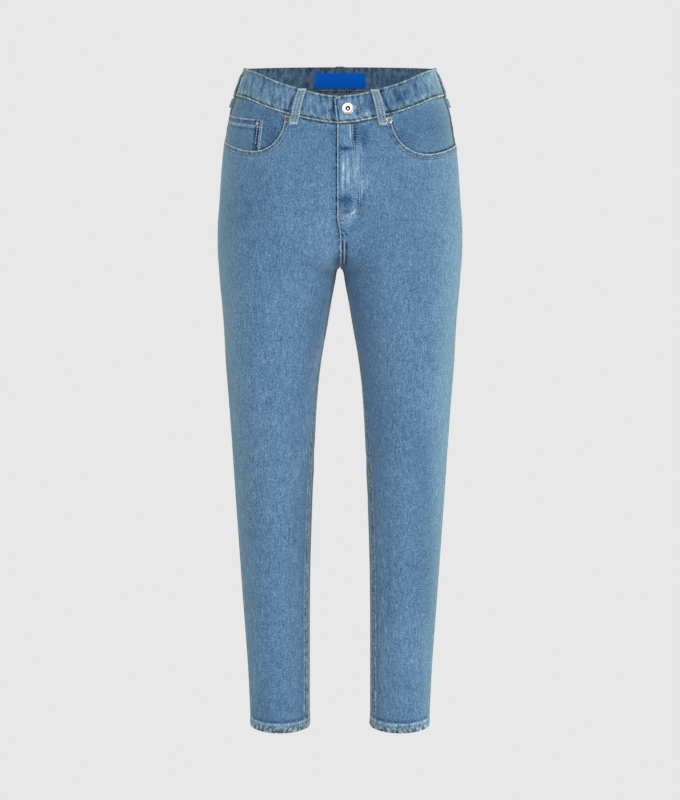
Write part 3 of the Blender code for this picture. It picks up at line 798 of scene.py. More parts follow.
def add(tree: bpy.types.NodeTree, kind: str, values: dict | None = None,
        stops: Sequence[tuple[float, str]] = (), **settings: object) -> bpy.types.Node:
    """Add a node to a material.

    Args:
        tree: The material's node tree.
        kind: The node's type name, after the word ShaderNode.
        values: What its inputs take, as for feed.
        stops: A colour ramp's stops.
        **settings: The node's own settings.

    Returns:
        The node.
    """
    node = tree.nodes.new("ShaderNode" + kind)
    for name, value in settings.items():
        setattr(node, name, value)
    if stops:
        set_stops(node.color_ramp, stops)
    feed(tree, node, values or {})
    return node


def new_material(name: str) -> tuple[bpy.types.Material, bpy.types.NodeTree, bpy.types.Node]:
    """A material with its tree and its Principled shader."""
    material = bpy.data.materials.new(name)
    material.use_nodes = True
    tree = material.node_tree
    return material, tree, tree.nodes["Principled BSDF"]


def per_metre(size: float) -> float:
    """A noise's scale for features of this size in mm."""
    return 1.0 / (size * METRE)


@dataclass(frozen=True)
class Grain:
    """One noise in the denim.

    Its size is in mm and its turn in degrees. Its places are those of the cut
    where of_cut is set, and otherwise those of the garment.
    """

    size: float
    detail: float
    squeeze: tuple[float, float, float] = (1.0, 1.0, 1.0)
    turn: float = 0.0
    of_cut: bool = False


@dataclass(frozen=True)
class WashedDenim:
    """Stone-washed indigo denim: 12 oz cotton twill, white weft under a blue warp.

    To the eye it is mid blue with pale flecks where the warp is rubbed, streaks
    down the warp, pale ridges on every folded edge and greyer, blotched puckers
    beside the stitching. Pale and dark are one scale here, from 0 (raw indigo) to
    1 (white).
    """

    name: str
    tone: float = 0.445
    grain: float = 0.86
    mottle: float = 0.12
    crumple: float = 0.0
    rope: float = 0.22
    ridge: float = 0.27
    bump: float = 0.5
    worn: float = 0.0

    FLECK = Grain(1.55, 2.0, squeeze=(1.0, 1.0, 0.66))
    STREAK = Grain(2.5, 1.0, squeeze=(1.0, 1.0, 0.16))
    BLOTCH = Grain(14.0, 3.0)
    BROAD = Grain(98.0, 1.0)
    CRUMPLE = Grain(5.5, 2.0, squeeze=(1.0, 0.38, 1.0), turn=38.0, of_cut=True)
    ROUGHNESS = 0.55
    # The real twill has a line every 0.7 mm; drawn at 1.5 mm so that it shows.
    TWILL = 1.5
    TWILL_TURN = -62.0
    # Puckers lie across the seam, one for each step of 1 in the run.
    PUCKER = (1.9, 130.0, 0.0)
    FACE = ((0.0, "#13294C"), (0.22, "#34567D"), (0.47, "#5B82A5"), (0.72, "#89A9C5"),
            (1.0, "#C8D5DE"))
    WORN = ((0.0, "#1F3244"), (0.22, "#48606F"), (0.47, "#6C8596"), (0.72, "#98B0BD"),
            (1.0, "#CDD6D8"))
    REVERSE = ((0.0, "#3E5876"), (0.5, "#8096AA"), (1.0, "#B9C4CC"))
    SHEEN = "#E6EFDC"

    def build(self) -> bpy.types.Material:
        """Make the material."""
        material, tree, shader = new_material(self.name)
        flat = add(tree, "UVMap", uv_map="flat").outputs["UV"]
        solid = add(tree, "TexCoord").outputs["Object"]
        edge, run, rope, ridge, fade, reverse = (
            add(tree, "Attribute", attribute_name=name).outputs["Fac"]
            for name in ("edge", "run", "rope", "ridge", "fade", "reverse")
        )
        noises = []
        for grain in (self.FLECK, self.STREAK, self.BLOTCH, self.BROAD, self.CRUMPLE):
            places = add(tree, "Mapping", {
                "Vector": flat if grain.of_cut else solid,
                "Rotation": (0.0, 0.0, math.radians(grain.turn)), "Scale": grain.squeeze})
            noise = add(tree, "TexNoise", {
                "Vector": places, "Scale": per_metre(grain.size), "Detail": grain.detail,
                "Roughness": self.ROUGHNESS})
            noises.append(add(tree, "Math", {0: noise, 1: 0.5}, operation="SUBTRACT"))
        fleck, streak, blotch, broad, crumple = noises
        slant = add(tree, "Mapping", {
            "Vector": flat, "Rotation": (0.0, 0.0, math.radians(self.TWILL_TURN))})
        twill = add(tree, "TexWave", {
            "Vector": slant, "Scale": 0.05 * 2.0 * math.pi / (self.TWILL * METRE),
            "Distortion": 1.2, "Detail": 1.0, "Detail Scale": 2.0}, bands_direction="X")
        line = add(tree, "Math", {0: twill.outputs["Fac"], 1: 0.5}, operation="SUBTRACT")

        beside = add(tree, "CombineXYZ", {"X": run, "Y": edge})
        seam = add(tree, "VectorMath", {0: beside, 1: self.PUCKER}, operation="MULTIPLY")
        ribs = add(tree, "TexNoise", {"Vector": seam, "Scale": 1.0, "Detail": 1.0})
        # What each reads, where it starts and ends, and its value at either
        puckers, near, wide, grey = (
            add(tree, "MapRange", {
                "Value": value, "From Min": low, "From Max": high, "To Min": at_low,
                "To Max": at_high}, interpolation_type="SMOOTHSTEP")
            for value, low, high, at_low, at_high in (
                (ribs, 0.38, 0.62, -1.0, 1.0), (edge, 0.0010, 0.0029, 1.0, 0.0),
                (edge, 0.0031, 0.0047, 1.0, 0.0), (rope, 0.1, 0.9, self.worn, 0.9))
        )
        groove = add(tree, "Math", {0: wide, 1: near}, operation="SUBTRACT")
        # Wear follows the warp, so patches of wear and of painted light and shade are broken up by
        # its streaks
        breaks = add(tree, "Math", {0: streak, 1: 2.6, 2: 1.0}, operation="MULTIPLY_ADD")
        patches, ropes, ridges, grooves = (
            add(tree, "Math", {0: first, 1: second}, operation="MULTIPLY")
            for first, second in ((fade, breaks), (puckers, rope), (near, ridge),
                                  (groove, ridge))
        )
        sums = []
        for start, parts in (
            (self.tone, (
                (fleck, self.grain), (streak, self.grain * 0.3), (blotch, self.mottle),
                (broad, self.mottle), (crumple, self.crumple), (line, 0.03), (patches, 1.0),
                (ropes, self.rope), (ridges, self.ridge), (grooves, -0.17))),
            (0.5, ((fleck, 1.5),)),
            (0.0, ((ropes, 1.2), (line, 0.4), (fleck, 1.0), (crumple, self.crumple * 4.0))),
        ):
            for value, weight in parts:
                start = add(tree, "Math", {0: value, 1: weight, 2: start},
                            operation="MULTIPLY_ADD")
            sums.append(start)
        tone, weft, height = sums
        face, worn, back = (
            add(tree, "ValToRGB", {"Fac": value}, stops=stops)
            for value, stops in ((tone, self.FACE), (tone, self.WORN), (weft, self.REVERSE))
        )
        # Mix has a socket of each name for each type of value, so these go by number
        greyed = add(tree, "Mix", {0: grey, 6: face, 7: worn}, data_type="RGBA").outputs[2]
        colour = add(tree, "Mix", {0: reverse, 6: greyed, 7: back}, data_type="RGBA").outputs[2]
        rough = add(tree, "MapRange", {
            "Value": tone, "From Min": 0.2, "From Max": 0.9, "To Min": 0.80, "To Max": 0.92},
            interpolation_type="SMOOTHSTEP")
        relief = add(tree, "Bump", {
            "Height": height, "Strength": self.bump, "Distance": 0.4 * METRE})
        feed(tree, shader, {
            "Base Color": colour, "Roughness": rough, "Normal": relief,
            "Specular IOR Level": 0.2, "Sheen Weight": 0.22, "Sheen Roughness": 0.5,
            "Sheen Tint": linear(self.SHEEN)})
        return material


@dataclass(frozen=True)
class SewingThread:
    """Core-spun polyester and cotton thread: a soft twisted strand, slightly shiny."""

    name: str
    light: str
    dark: str

    TWIST = 0.9
    WASH = 14.0

    def build(self) -> bpy.types.Material:
        """Make the material, with the twist as fine bands."""
        material, tree, shader = new_material(self.name)
        solid = add(tree, "TexCoord").outputs["Object"]
        fuzz, wash = (
            add(tree, "TexNoise", {"Vector": solid, "Scale": per_metre(size), "Detail": detail})
            for size, detail in ((self.TWIST, 2.0), (self.WASH, 1.0))
        )
        both = add(tree, "Math", {0: fuzz, 1: wash}, operation="ADD")
        half = add(tree, "Math", {0: both, 1: 0.5}, operation="MULTIPLY")
        colour = add(tree, "ValToRGB", {"Fac": half},
                     stops=((0.36, self.dark), (0.62, self.light)))
        relief = add(tree, "Bump", {"Height": fuzz, "Strength": 0.4, "Distance": 0.15 * METRE})
        feed(tree, shader, {
            "Base Color": colour, "Normal": relief, "Roughness": 0.62, "Sheen Weight": 0.1})
        return material


@dataclass(frozen=True)
class PlatedMetal:
    """Electroplated steel or brass: bright, with duller patches of tarnish."""

    name: str
    bright: str
    dull: str
    roughness: float

    SCRATCH = 0.5
    TARNISH = 2.4

    def build(self) -> bpy.types.Material:
        """Make the material, with fine wear scratches and uneven tarnish."""
        material, tree, shader = new_material(self.name)
        solid = add(tree, "TexCoord").outputs["Object"]
        tarnish, fine = (
            add(tree, "TexNoise", {"Vector": solid, "Scale": per_metre(size), "Detail": detail})
            for size, detail in ((self.TARNISH, 3.0), (self.SCRATCH, 2.0))
        )
        colour = add(tree, "ValToRGB", {"Fac": tarnish},
                     stops=((0.30, self.dull), (0.62, self.bright)))
        rough = add(tree, "MapRange", {
            "Value": fine, "To Min": self.roughness * 0.7, "To Max": self.roughness * 1.5})
        relief = add(tree, "Bump", {"Height": fine, "Strength": 0.12, "Distance": 0.05 * METRE})
        feed(tree, shader, {
            "Base Color": colour, "Roughness": rough, "Normal": relief, "Metallic": 1.0})
        return material


@dataclass(frozen=True)
class WovenLabel:
    """Polyester satin label tape: saturated blue, with fine ribs across and a low sheen."""

    name: str

    # The real tape has about 4 ribs a millimetre; drawn at 0.8 mm so that they show.
    RIB = 0.8
    CLOUD = 9.0
    BLUES = ((0.25, "#0070FA"), (0.95, "#047CFF"))

    def build(self) -> bpy.types.Material:
        """Make the material."""
        material, tree, shader = new_material(self.name)
        flat = add(tree, "UVMap", uv_map="flat").outputs["UV"]
        ribs = add(tree, "TexWave", {
            "Vector": flat, "Scale": 0.05 * 2.0 * math.pi / (self.RIB * METRE),
            "Distortion": 0.4}, bands_direction="Y").outputs["Fac"]
        cloud = add(tree, "TexNoise", {
            "Vector": flat, "Scale": per_metre(self.CLOUD), "Detail": 2.0})
        both = add(tree, "Math", {0: ribs, 1: 0.35, 2: cloud}, operation="MULTIPLY_ADD")
        colour = add(tree, "ValToRGB", {"Fac": both}, stops=self.BLUES)
        relief = add(tree, "Bump", {"Height": ribs, "Strength": 0.25, "Distance": 0.1 * METRE})
        feed(tree, shader, {
            "Base Color": colour, "Normal": relief, "Roughness": 0.6,
            "Specular IOR Level": 0.12})
        return material


@dataclass(frozen=True)
class StudioPaper:
    """Pale grey seamless paper that glows evenly, as an over-lit studio sweep does."""

    code: str
    name: str = "studio_paper"

    def build(self) -> bpy.types.Material:
        """Make the material."""
        material, tree, shader = new_material(self.name)
        solid = add(tree, "TexCoord").outputs["Object"]
        grain = add(tree, "TexNoise", {"Vector": solid, "Scale": 900.0})
        relief = add(tree, "Bump", {"Height": grain, "Strength": 0.05, "Distance": 0.2 * METRE})
        feed(tree, shader, {
            "Base Color": (0.0, 0.0, 0.0, 1.0), "Normal": relief, "Roughness": 1.0,
            "Specular IOR Level": 0.0, "Emission Color": linear(self.code),
            "Emission Strength": 1.0})
        return material


class Finish(Enum):
    """The finishes that a piece of cloth may have, as Finishes names them."""

    DENIM = "denim"
    BAND = "band"
    DEEP = "deep"
    LOOP = "loop"
    LABEL = "label"


class Finishes:
    """Every finish on the garment, each made once."""

    def __init__(self) -> None:
        """Make the materials."""
        self.denim = WashedDenim("washed_denim").build()
        self.band = WashedDenim("washed_denim_waistband", tone=0.49, grain=0.66, mottle=0.34,
                                crumple=0.85, rope=0.21, worn=0.16).build()
        self.deep = WashedDenim("unfaded_denim_facing", tone=0.40, grain=0.8,
                                mottle=0.24).build()
        self.loop = WashedDenim("washed_denim_belt_loop", tone=0.54, grain=0.55,
                                rope=0.26, worn=0.7).build()
        self.thread = SewingThread("blue_grey_thread", "#CBD8DE", "#8FA8B8").build()
        self.rust = SewingThread("rust_thread", "#93808A", "#66677C").build()
        self.steel = PlatedMetal("nickel_plated_steel", "#F4F3EF", "#D2D2CF", 0.24).build()
        self.brass = PlatedMetal("aged_brass", "#B9B89C", "#84846A", 0.45).build()
        # Near-black steel on the sunk hollows of the button and rivets: painted shade
        self.dark = PlatedMetal("blackened_steel", "#262629", "#111113", 0.5).build()
        self.label = WovenLabel("blue_label_tape").build()


@dataclass
class Threads:
    """Stitches gathered for one piece of cloth, then made as one mesh."""

    LENGTH = 2.5
    PITCH = 3.8
    WIDTH = 0.5
    HEIGHT = 0.36
    AROUND = 5
    # Along a stitch: share of its length, and of its full width.
    SHAPE = ((0.0, 0.35), (0.22, 0.95), (0.78, 0.95), (1.0, 0.35))

    points: list[Array] = field(default_factory=list)

    def add_stitches(self, start: Array, end: Array, out: Array, width: float = 1.0) -> None:
        """Add a stitch for each row of start and end points.

        Args:
            start: First ends of the stitches, in mm.
            end: Last ends.
            out: Directions away from the cloth.
            width: Thickness against the usual thread.
        """
        along = end - start
        over = np.cross(out, along)
        over /= np.maximum(np.linalg.norm(over, axis=1, keepdims=True), 1e-9)
        rings = []
        for share, size in self.SHAPE:
            middle = start + along * share
            middle = middle + out * self.HEIGHT * (4 * share * (1 - share) - 0.25)
            for k in range(self.AROUND):
                turn = 2 * math.pi * k / self.AROUND
                spoke = over * math.cos(turn) + out * math.sin(turn)
                rings.append(middle + spoke * self.WIDTH * size * width)
        self.points.append(np.stack(rings, axis=1))

    def build(self, name: str, material: bpy.types.Material) -> bpy.types.Object | None:
        """Make the gathered stitches one mesh.

        Args:
            name: The name of the stitches.
            material: Their finish.

        Returns:
            The object, or nothing if there are no stitches.
        """
        if not self.points:
            return None
        points = np.concatenate(self.points)
        each = points.shape[1]
        around = self.AROUND
        quads = []
        for ring in range(len(self.SHAPE) - 1):
            for k in range(around):
                low, after = ring * around, (k + 1) % around
                quads.append((low + k, low + after, low + around + after, low + around + k))
        first = tuple(range(around - 1, -1, -1))
        last = tuple(range(each - around, each))
        pattern = quads + [first, last]
        faces = []
        for number in range(len(points)):
            shift = number * each
            faces.extend(tuple(shift + k for k in face) for face in pattern)
        return make_object(name, points.reshape(-1, 3), faces, material, smooth_angle=75.0)


def make_object(name: str, points: Array, faces: Sequence[Sequence[int]],
                material: bpy.types.Material, smooth_angle: float = 50.0) -> bpy.types.Object:
    """A mesh object at the origin that rides on the garment.

    Args:
        name: The piece's name.
        points: Vertices in mm.
        faces: Their numbers for each face.
        material: The finish.
        smooth_angle: Degrees above which an edge stays sharp.

    Returns:
        The object.
    """
    mesh = bpy.data.meshes.new(name)
    mesh.from_pydata((points * METRE).tolist(), [], faces)
    form = bmesh.new()
    form.from_mesh(mesh)
    bmesh.ops.recalc_face_normals(form, faces=form.faces)
    form.to_mesh(mesh)
    form.free()
    mesh.shade_smooth()
    mesh.set_sharp_from_angle(angle=math.radians(smooth_angle))
    mesh.materials.append(material)
    item = bpy.data.objects.new(name, mesh)
    bpy.context.scene.collection.objects.link(item)
    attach(item, "root")
    return item


@dataclass
class Cloth:
    """A piece of cloth over the skin.

    It has flat places, across and up in mm. They are mostly the arc from the
    centre or the inner seam, and the height. A subclass gives the grid, the seams
    and the wear. In its piece, stands_for and hangs_from, the words {side} and
    {half} stand for the piece's own.
    """

    finishes: Finishes
    side: Side = Side.LEFT
    half: Half = Half.FRONT
    piece: str = ""
    stands_for: str = ""
    material_slot: str = "denim"
    finish: Finish = Finish.DENIM
    hangs_from: tuple[str, ...] = ("waistband",)
    above_skin: float = 0.0
    thickness: float = WALL
    inner_shade: float = 0.1
    ridge_ease: float = 1.4
    groove_depth: float = 0.26
    groove_width: float = 0.7
    pucker_start: float = 1.5
    # Distance that stands for no seam near, and what parts two seams' puckers
    far: float = 60.0
    parting: float = 17.0

    def named(self, pattern: str) -> str:
        """A name with the piece's side and half put in."""
        return pattern.format(side=self.side.word, half=self.half.name.lower())

    def name(self) -> str:
        """The piece's name."""
        return self.named(self.piece)

    def node(self) -> str:
        """The CAD node that the piece stands for."""
        return self.named(self.stands_for)

    def ground(self, across: Array, up: Array) -> Ground:
        """Where flat places lie on the skin."""
        shape = across.shape
        return Ground(np.full(shape, self.side.value), np.full(shape, self.half.value),
                      across, up)

    def grid(self) -> tuple[Array, Array]:
        """Flat places of the mesh's points, row by row."""
        raise NotImplementedError

    def arcs(self, share: Array, up: Array) -> Array:
        """Arcs at shares of the half ring, clear of the seams at both its ends."""
        length = SKIN.length(self.half, up)
        return np.clip(share * length, SEAM_GAP / 2, length - SEAM_GAP / 2)

    def lift(self, across: Array, up: Array) -> Array:
        """How far the plain face lies above the skin."""
        return np.full(across.shape, self.above_skin)

    def wall(self, across: Array, up: Array) -> Array:
        """Thickness of the cloth."""
        return np.full(across.shape, self.thickness)

    def seams(self) -> list[Seam]:
        """The sewn edges."""
        return []

    def fades(self) -> Sequence[Fade]:
        """Worn and dark patches, some of them painted light and shade."""
        return ()

    def creases(self) -> Sequence[Crease]:
        """Soft folds."""
        return ()

    def material(self) -> bpy.types.Material:
        """The cloth's finish."""
        return getattr(self.finishes, self.finish.value)

    def slot(self) -> str:
        """The record's material slot."""
        return self.material_slot

    def flat_size(self) -> tuple[float, float, float]:
        """Width, length and area of the cut, in mm and square mm."""
        across, up = self.grid()
        spans = np.hypot(np.diff(across, axis=1), np.diff(up, axis=1))
        drops = np.abs(np.diff(up, axis=0))
        area = float((spans[:-1] * (drops[:, 1:] + drops[:, :-1]) / 2).sum())
        return float(np.ptp(across)), float(np.ptp(up)), area

    def measure(self, seam: Seam, across: Array, up: Array) -> tuple[Array, Array]:
        """Distance from a seam and along it."""
        return seam.measure(across, up)

    def relief(self, across: Array, up: Array) -> Array:
        """Height of ridges, stitch grooves, puckers and folds above the plain face.

        Args:
            across: Flat places across.
            up: Flat places up.

        Returns:
            The height at each place.
        """
        total = np.zeros(across.shape)
        for seam in self.seams():
            style = seam.sewing.value
            apart, run = self.measure(seam, across, up)
            ease = smooth_step((apart - style.ridge_width) / self.ridge_ease)
            total += style.ridge * (1 - ease)
            for row in style.rows:
                total -= self.groove_depth * hump(apart - row, self.groove_width)
            near = 1 - smooth_step(apart / style.reach)
            wave = ripple(run + style.slant * apart, style.spacing, seam.seed)
            total += style.pucker * wave * near * smooth_step(apart / self.pucker_start)
            inside = np.clip(1 - apart / style.rounding, 0.0, 1.0)
            total -= style.rounding * (1 - np.sqrt(np.maximum(1 - inside**2, 0.0)))
        for fold in self.creases():
            line = np.array([(fold.across, fold.up), (fold.to_across, fold.to_up)])
            apart, run = Seam(Sewing.PLAIN, line, 1).measure(across, up)
            whole = math.dist(line[0], line[1])
            taper = 0.25 + 0.75 * np.sin(np.pi * np.clip(run / whole, 0.0, 1.0))
            total += fold.depth * taper * hump(apart, fold.width)
        return total

    def surface(self, across: Array, up: Array, above: float = 0.0) -> Array:
        """Points on the finished face, or this far above it."""
        lift = self.lift(across, up) + self.relief(across, up) + above
        return SKIN.place(self.ground(across, up), lift)

    def wear(self, across: Array, up: Array) -> dict[str, Array]:
        """What the denim finish reads at each place.

        Args:
            across: Flat places across, in mm.
            up: Flat places up, in mm.

        Returns:
            Distance from the nearest seam in metres, distance along it in puckers,
            its puckering, its pale edge, and its tone from wear and from painted light and shade.
        """
        best = np.full(across.shape, self.far)
        run, rope, ridge, fade = (np.zeros(across.shape) for _ in range(4))
        for number, seam in enumerate(self.seams()):
            style = seam.sewing.value
            apart, along = self.measure(seam, across, up)
            near = 1 - smooth_step(apart / style.reach)
            nearer = (apart < best) & (style.rope > 0)
            best = np.where(nearer, apart, best)
            shifted = (along + style.slant * apart) / style.spacing
            run = np.where(nearer, shifted + self.parting * (number + seam.seed), run)
            rope = np.where(nearer, style.rope * near, rope)
            ridge = np.where(nearer, style.pale, ridge)
            uneven = 1.0 + 0.6 * ripple(along, 1.8 * style.spacing, seam.seed)
            for distance, width, strength in style.stripes:
                fade += uneven * strength * hump(apart - distance, width)
        for patch in self.fades():
            apart = ((across - patch.across) / patch.half_across) ** 2
            apart = apart + ((up - patch.up) / patch.half_up) ** 2
            fade += patch.strength * np.exp(-apart)
        return {"edge": best * METRE, "run": run, "rope": rope, "ridge": ridge, "fade": fade}

    def sew(self) -> Threads:
        """Lay the rows of stitches beside the seams."""
        threads = Threads()
        for seam in self.seams():
            for row in seam.sewing.value.rows if seam.stitched else ():
                middles = seam.offset(row, Threads.PITCH)
                if len(middles) > 2:
                    self.lay_row(threads, middles)
        return threads

    def tacks(self) -> Threads:
        """Lay the stitches in rust-coloured thread."""
        return Threads()

    def lay_row(self, threads: Threads, middles: Array, above: float = 0.08) -> None:
        """Lay stitches along one line of flat places.

        Args:
            threads: Where the stitches are gathered.
            middles: Flat places of their middles, a row each.
            above: How far above the face they lie; below 0 is the inside.
        """
        steps = np.gradient(middles, axis=0)
        steps /= np.maximum(np.hypot(*steps.T), 1e-9)[:, None]
        half = Threads.LENGTH / 2
        out = self.surface(*middles.T, above=1.0) - self.surface(*middles.T)
        threads.add_stitches(self.surface(*(middles - steps * half).T, above=above),
                             self.surface(*(middles + steps * half).T, above=above),
                             out * math.copysign(1.0, above))

    def weave(self, across: Array, up: Array) -> Array:
        """Places across, measured so that the warp runs as the cloth was cut."""
        return across

    def tidy(self, points: Array, across: Array, up: Array) -> Array:
        """Last corrections to the points."""
        return points

    def build(self) -> bpy.types.Object:
        """Make the cloth as a closed shell and its stitches as a second mesh."""
        across, up = self.grid()
        outer = self.tidy(self.surface(across, up), across, up)
        rows, cols = across.shape
        inner_at = (slice(0, rows, 2), slice(0, cols, 2))
        under, over = across[inner_at], up[inner_at]
        inner_lift = self.lift(under, over) - self.wall(under, over)
        inner = SKIN.place(self.ground(under, over), inner_lift)
        inner = self.tidy(inner, under, over)
        faces = shell_faces(rows, cols)
        points = np.concatenate([outer.reshape(-1, 3), inner.reshape(-1, 3)])
        item = make_object(self.name(), points, faces, self.material())
        flat = np.concatenate([
            np.column_stack([self.weave(across, up).ravel(), up.ravel()]),
            np.column_stack([self.weave(under, over).ravel(), over.ravel()]),
        ])
        layer = item.data.uv_layers.new(name="flat")
        corners = np.zeros(len(item.data.loops), dtype=np.int32)
        item.data.loops.foreach_get("vertex_index", corners)
        layer.data.foreach_set("uv", (flat[corners] * METRE).astype(np.float32).ravel())
        values = self.wear(across, up)
        below = self.wear(under, over)
        values["reverse"] = np.zeros(across.shape)
        below["reverse"] = self.reverse(under, over)
        below["fade"] = below["fade"] - self.inner_shade
        for key, value in values.items():
            both = np.concatenate([value.ravel(), below[key].ravel()]).astype(np.float32)
            item.data.attributes.new(key, "FLOAT", "POINT").data.foreach_set("value", both)
        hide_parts(self.node())
        self.slot()
        threads = self.sew().build(self.name() + "_stitches", self.finishes.thread)
        tacks = self.tacks().build(self.name() + "_tacks", self.finishes.rust)
        width, length, area = self.flat_size()
        LOG.info("%s: %d faces", item.name, len(item.data.polygons))
        return item

    def reverse(self, across: Array, up: Array) -> Array:
        """How much the inner face shows the denim's pale reverse."""
        return np.ones(across.shape)


def shell_faces(rows: int, cols: int) -> list[tuple[int, ...]]:
    """Faces of a closed shell whose inner sheet has every second point.

    Args:
        rows: Rows of the outer sheet, an odd number.
        cols: Columns of the outer sheet, an odd number.

    Returns:
        The faces, with the inner sheet's points numbered after the outer's.
    """
    shift = rows * cols
    inner_cols = (cols + 1) // 2
    inner_rows = (rows + 1) // 2

    def outer(row: int, col: int) -> int:
        """Number of an outer point."""
        return row * cols + col

    def inner(row: int, col: int) -> int:
        """Number of an inner point, by its own row and column."""
        return shift + row * inner_cols + col

    faces: list[tuple[int, ...]] = []
    for i in range(rows - 1):
        for j in range(cols - 1):
            faces.append((outer(i, j), outer(i, j + 1), outer(i + 1, j + 1), outer(i + 1, j)))
    for i in range(inner_rows - 1):
        for j in range(inner_cols - 1):
            faces.append((inner(i + 1, j), inner(i + 1, j + 1), inner(i, j + 1), inner(i, j)))
    for j in range(inner_cols - 1):
        for row, at in ((0, 0), (inner_rows - 1, rows - 1)):
            run = [outer(at, 2 * j + k) for k in range(3)]
            face = (*run, inner(row, j + 1), inner(row, j))
            faces.append(face[::-1] if row == 0 else face)
    for i in range(inner_rows - 1):
        for col, at in ((0, 0), (inner_cols - 1, cols - 1)):
            run = [outer(2 * i + k, at) for k in range(3)]
            face = (*run, inner(i + 1, col), inner(i, col))
            faces.append(face if col == 0 else face[::-1])
    return faces


def rows_between(top: Array, foot: Array | float, falls: Array) -> Array:
    """Heights of rows at shares of the way from a top line to a foot line."""
    return top[None, :] + (foot - top)[None, :] * falls[:, None]


def even_grid(across: tuple[float, float, int],
              up: tuple[float, float, int]) -> tuple[Array, Array]:
    """Flat places in even rows and columns, each way from a first to a last in steps."""
    wide, high = np.meshgrid(np.linspace(*across), np.linspace(*up))
    return wide, high


def line_of(function: Callable[[Array], tuple[Array | float, Array]], start: float, end: float,
            spacing: float = 12.0) -> Array:
    """A line of flat places along a parameter, about evenly spaced."""
    count = max(3, int(abs(end - start) / spacing) + 1)
    across, up = function(np.linspace(start, end, count))
    return np.column_stack(np.broadcast_arrays(across, up))


def plumb(arc: float, top: float, foot: float, spacing: float = 12.0) -> Array:
    """A line of flat places straight down one arc."""
    return line_of(lambda height: (arc, height), top, foot, spacing)


@dataclass
class LegPanel(Cloth):
    """What the front and back leg panels share."""

    piece: str = "{half}_panel_{side}"
    stands_for: str = "{half}_{side}"
    row: float = 2.4
    hem_row: float = 0.9
    hem_band: float = 23.4
    spare_level: int = 40
    spare_row: int = 60

    def wall(self, across: Array, up: Array) -> Array:
        """One layer, and three where the hem is turned up."""
        return np.where(up < HEM + HEM_DEPTH, HEM_WALL, WALL)

    def weave(self, across: Array, up: Array) -> Array:
        """Measured from the side seam, as the inner edge is cut on a curve."""
        return across - SKIN.length(self.half, up)

    def measure(self, seam: Seam, across: Array, up: Array) -> tuple[Array, Array]:
        """Places start at the inner edge, so the side seam is found by the length left."""
        if seam.sewing is Sewing.OUTSEAM:
            return SKIN.length(self.half, up) - across, -up
        return seam.measure(across, up)

    def levels(self) -> Array:
        """Heights of the rows below the seat level."""
        leg = np.arange(SEAT_LEVEL, HEM + self.hem_band, -self.row)
        hem = np.linspace(HEM + self.hem_band, HEM, int(self.hem_band / self.hem_row) + 1)
        levels = np.concatenate([leg, hem])
        return levels if len(levels) % 2 == 0 else np.delete(levels, self.spare_level)

    def heights(self, tops: Array, falls: Array) -> Array:
        """Heights of an odd number of rows, which are level below the seat."""
        low = np.repeat(self.levels()[:, None], len(tops), axis=1)
        up = np.concatenate([rows_between(tops, SEAT_LEVEL, falls), low])
        return up if len(up) % 2 else np.delete(up, self.spare_row, axis=0)

    def tidy(self, points: Array, across: Array, up: Array) -> Array:
        """Keep the panel on its own side of the centre seam."""
        sign = self.side.value
        held = np.maximum(points[..., 0] * sign, SEAM_GAP / 2) * sign
        points[..., 0] = np.where(up < FLY_EASE_FOOT, held, points[..., 0])
        return points

    def side_line(self, top: float) -> Array:
        """The side seam, from this height to the hem."""
        return line_of(lambda h: (SKIN.length(self.half, h), h), top, HEM)

    def hem_line(self) -> Array:
        """The hem, from the inner seam to the side."""
        length = float(SKIN.length(self.half, HEM))
        return line_of(lambda a: (a, np.full(a.shape, HEM)), 0.0, length, 20.0)


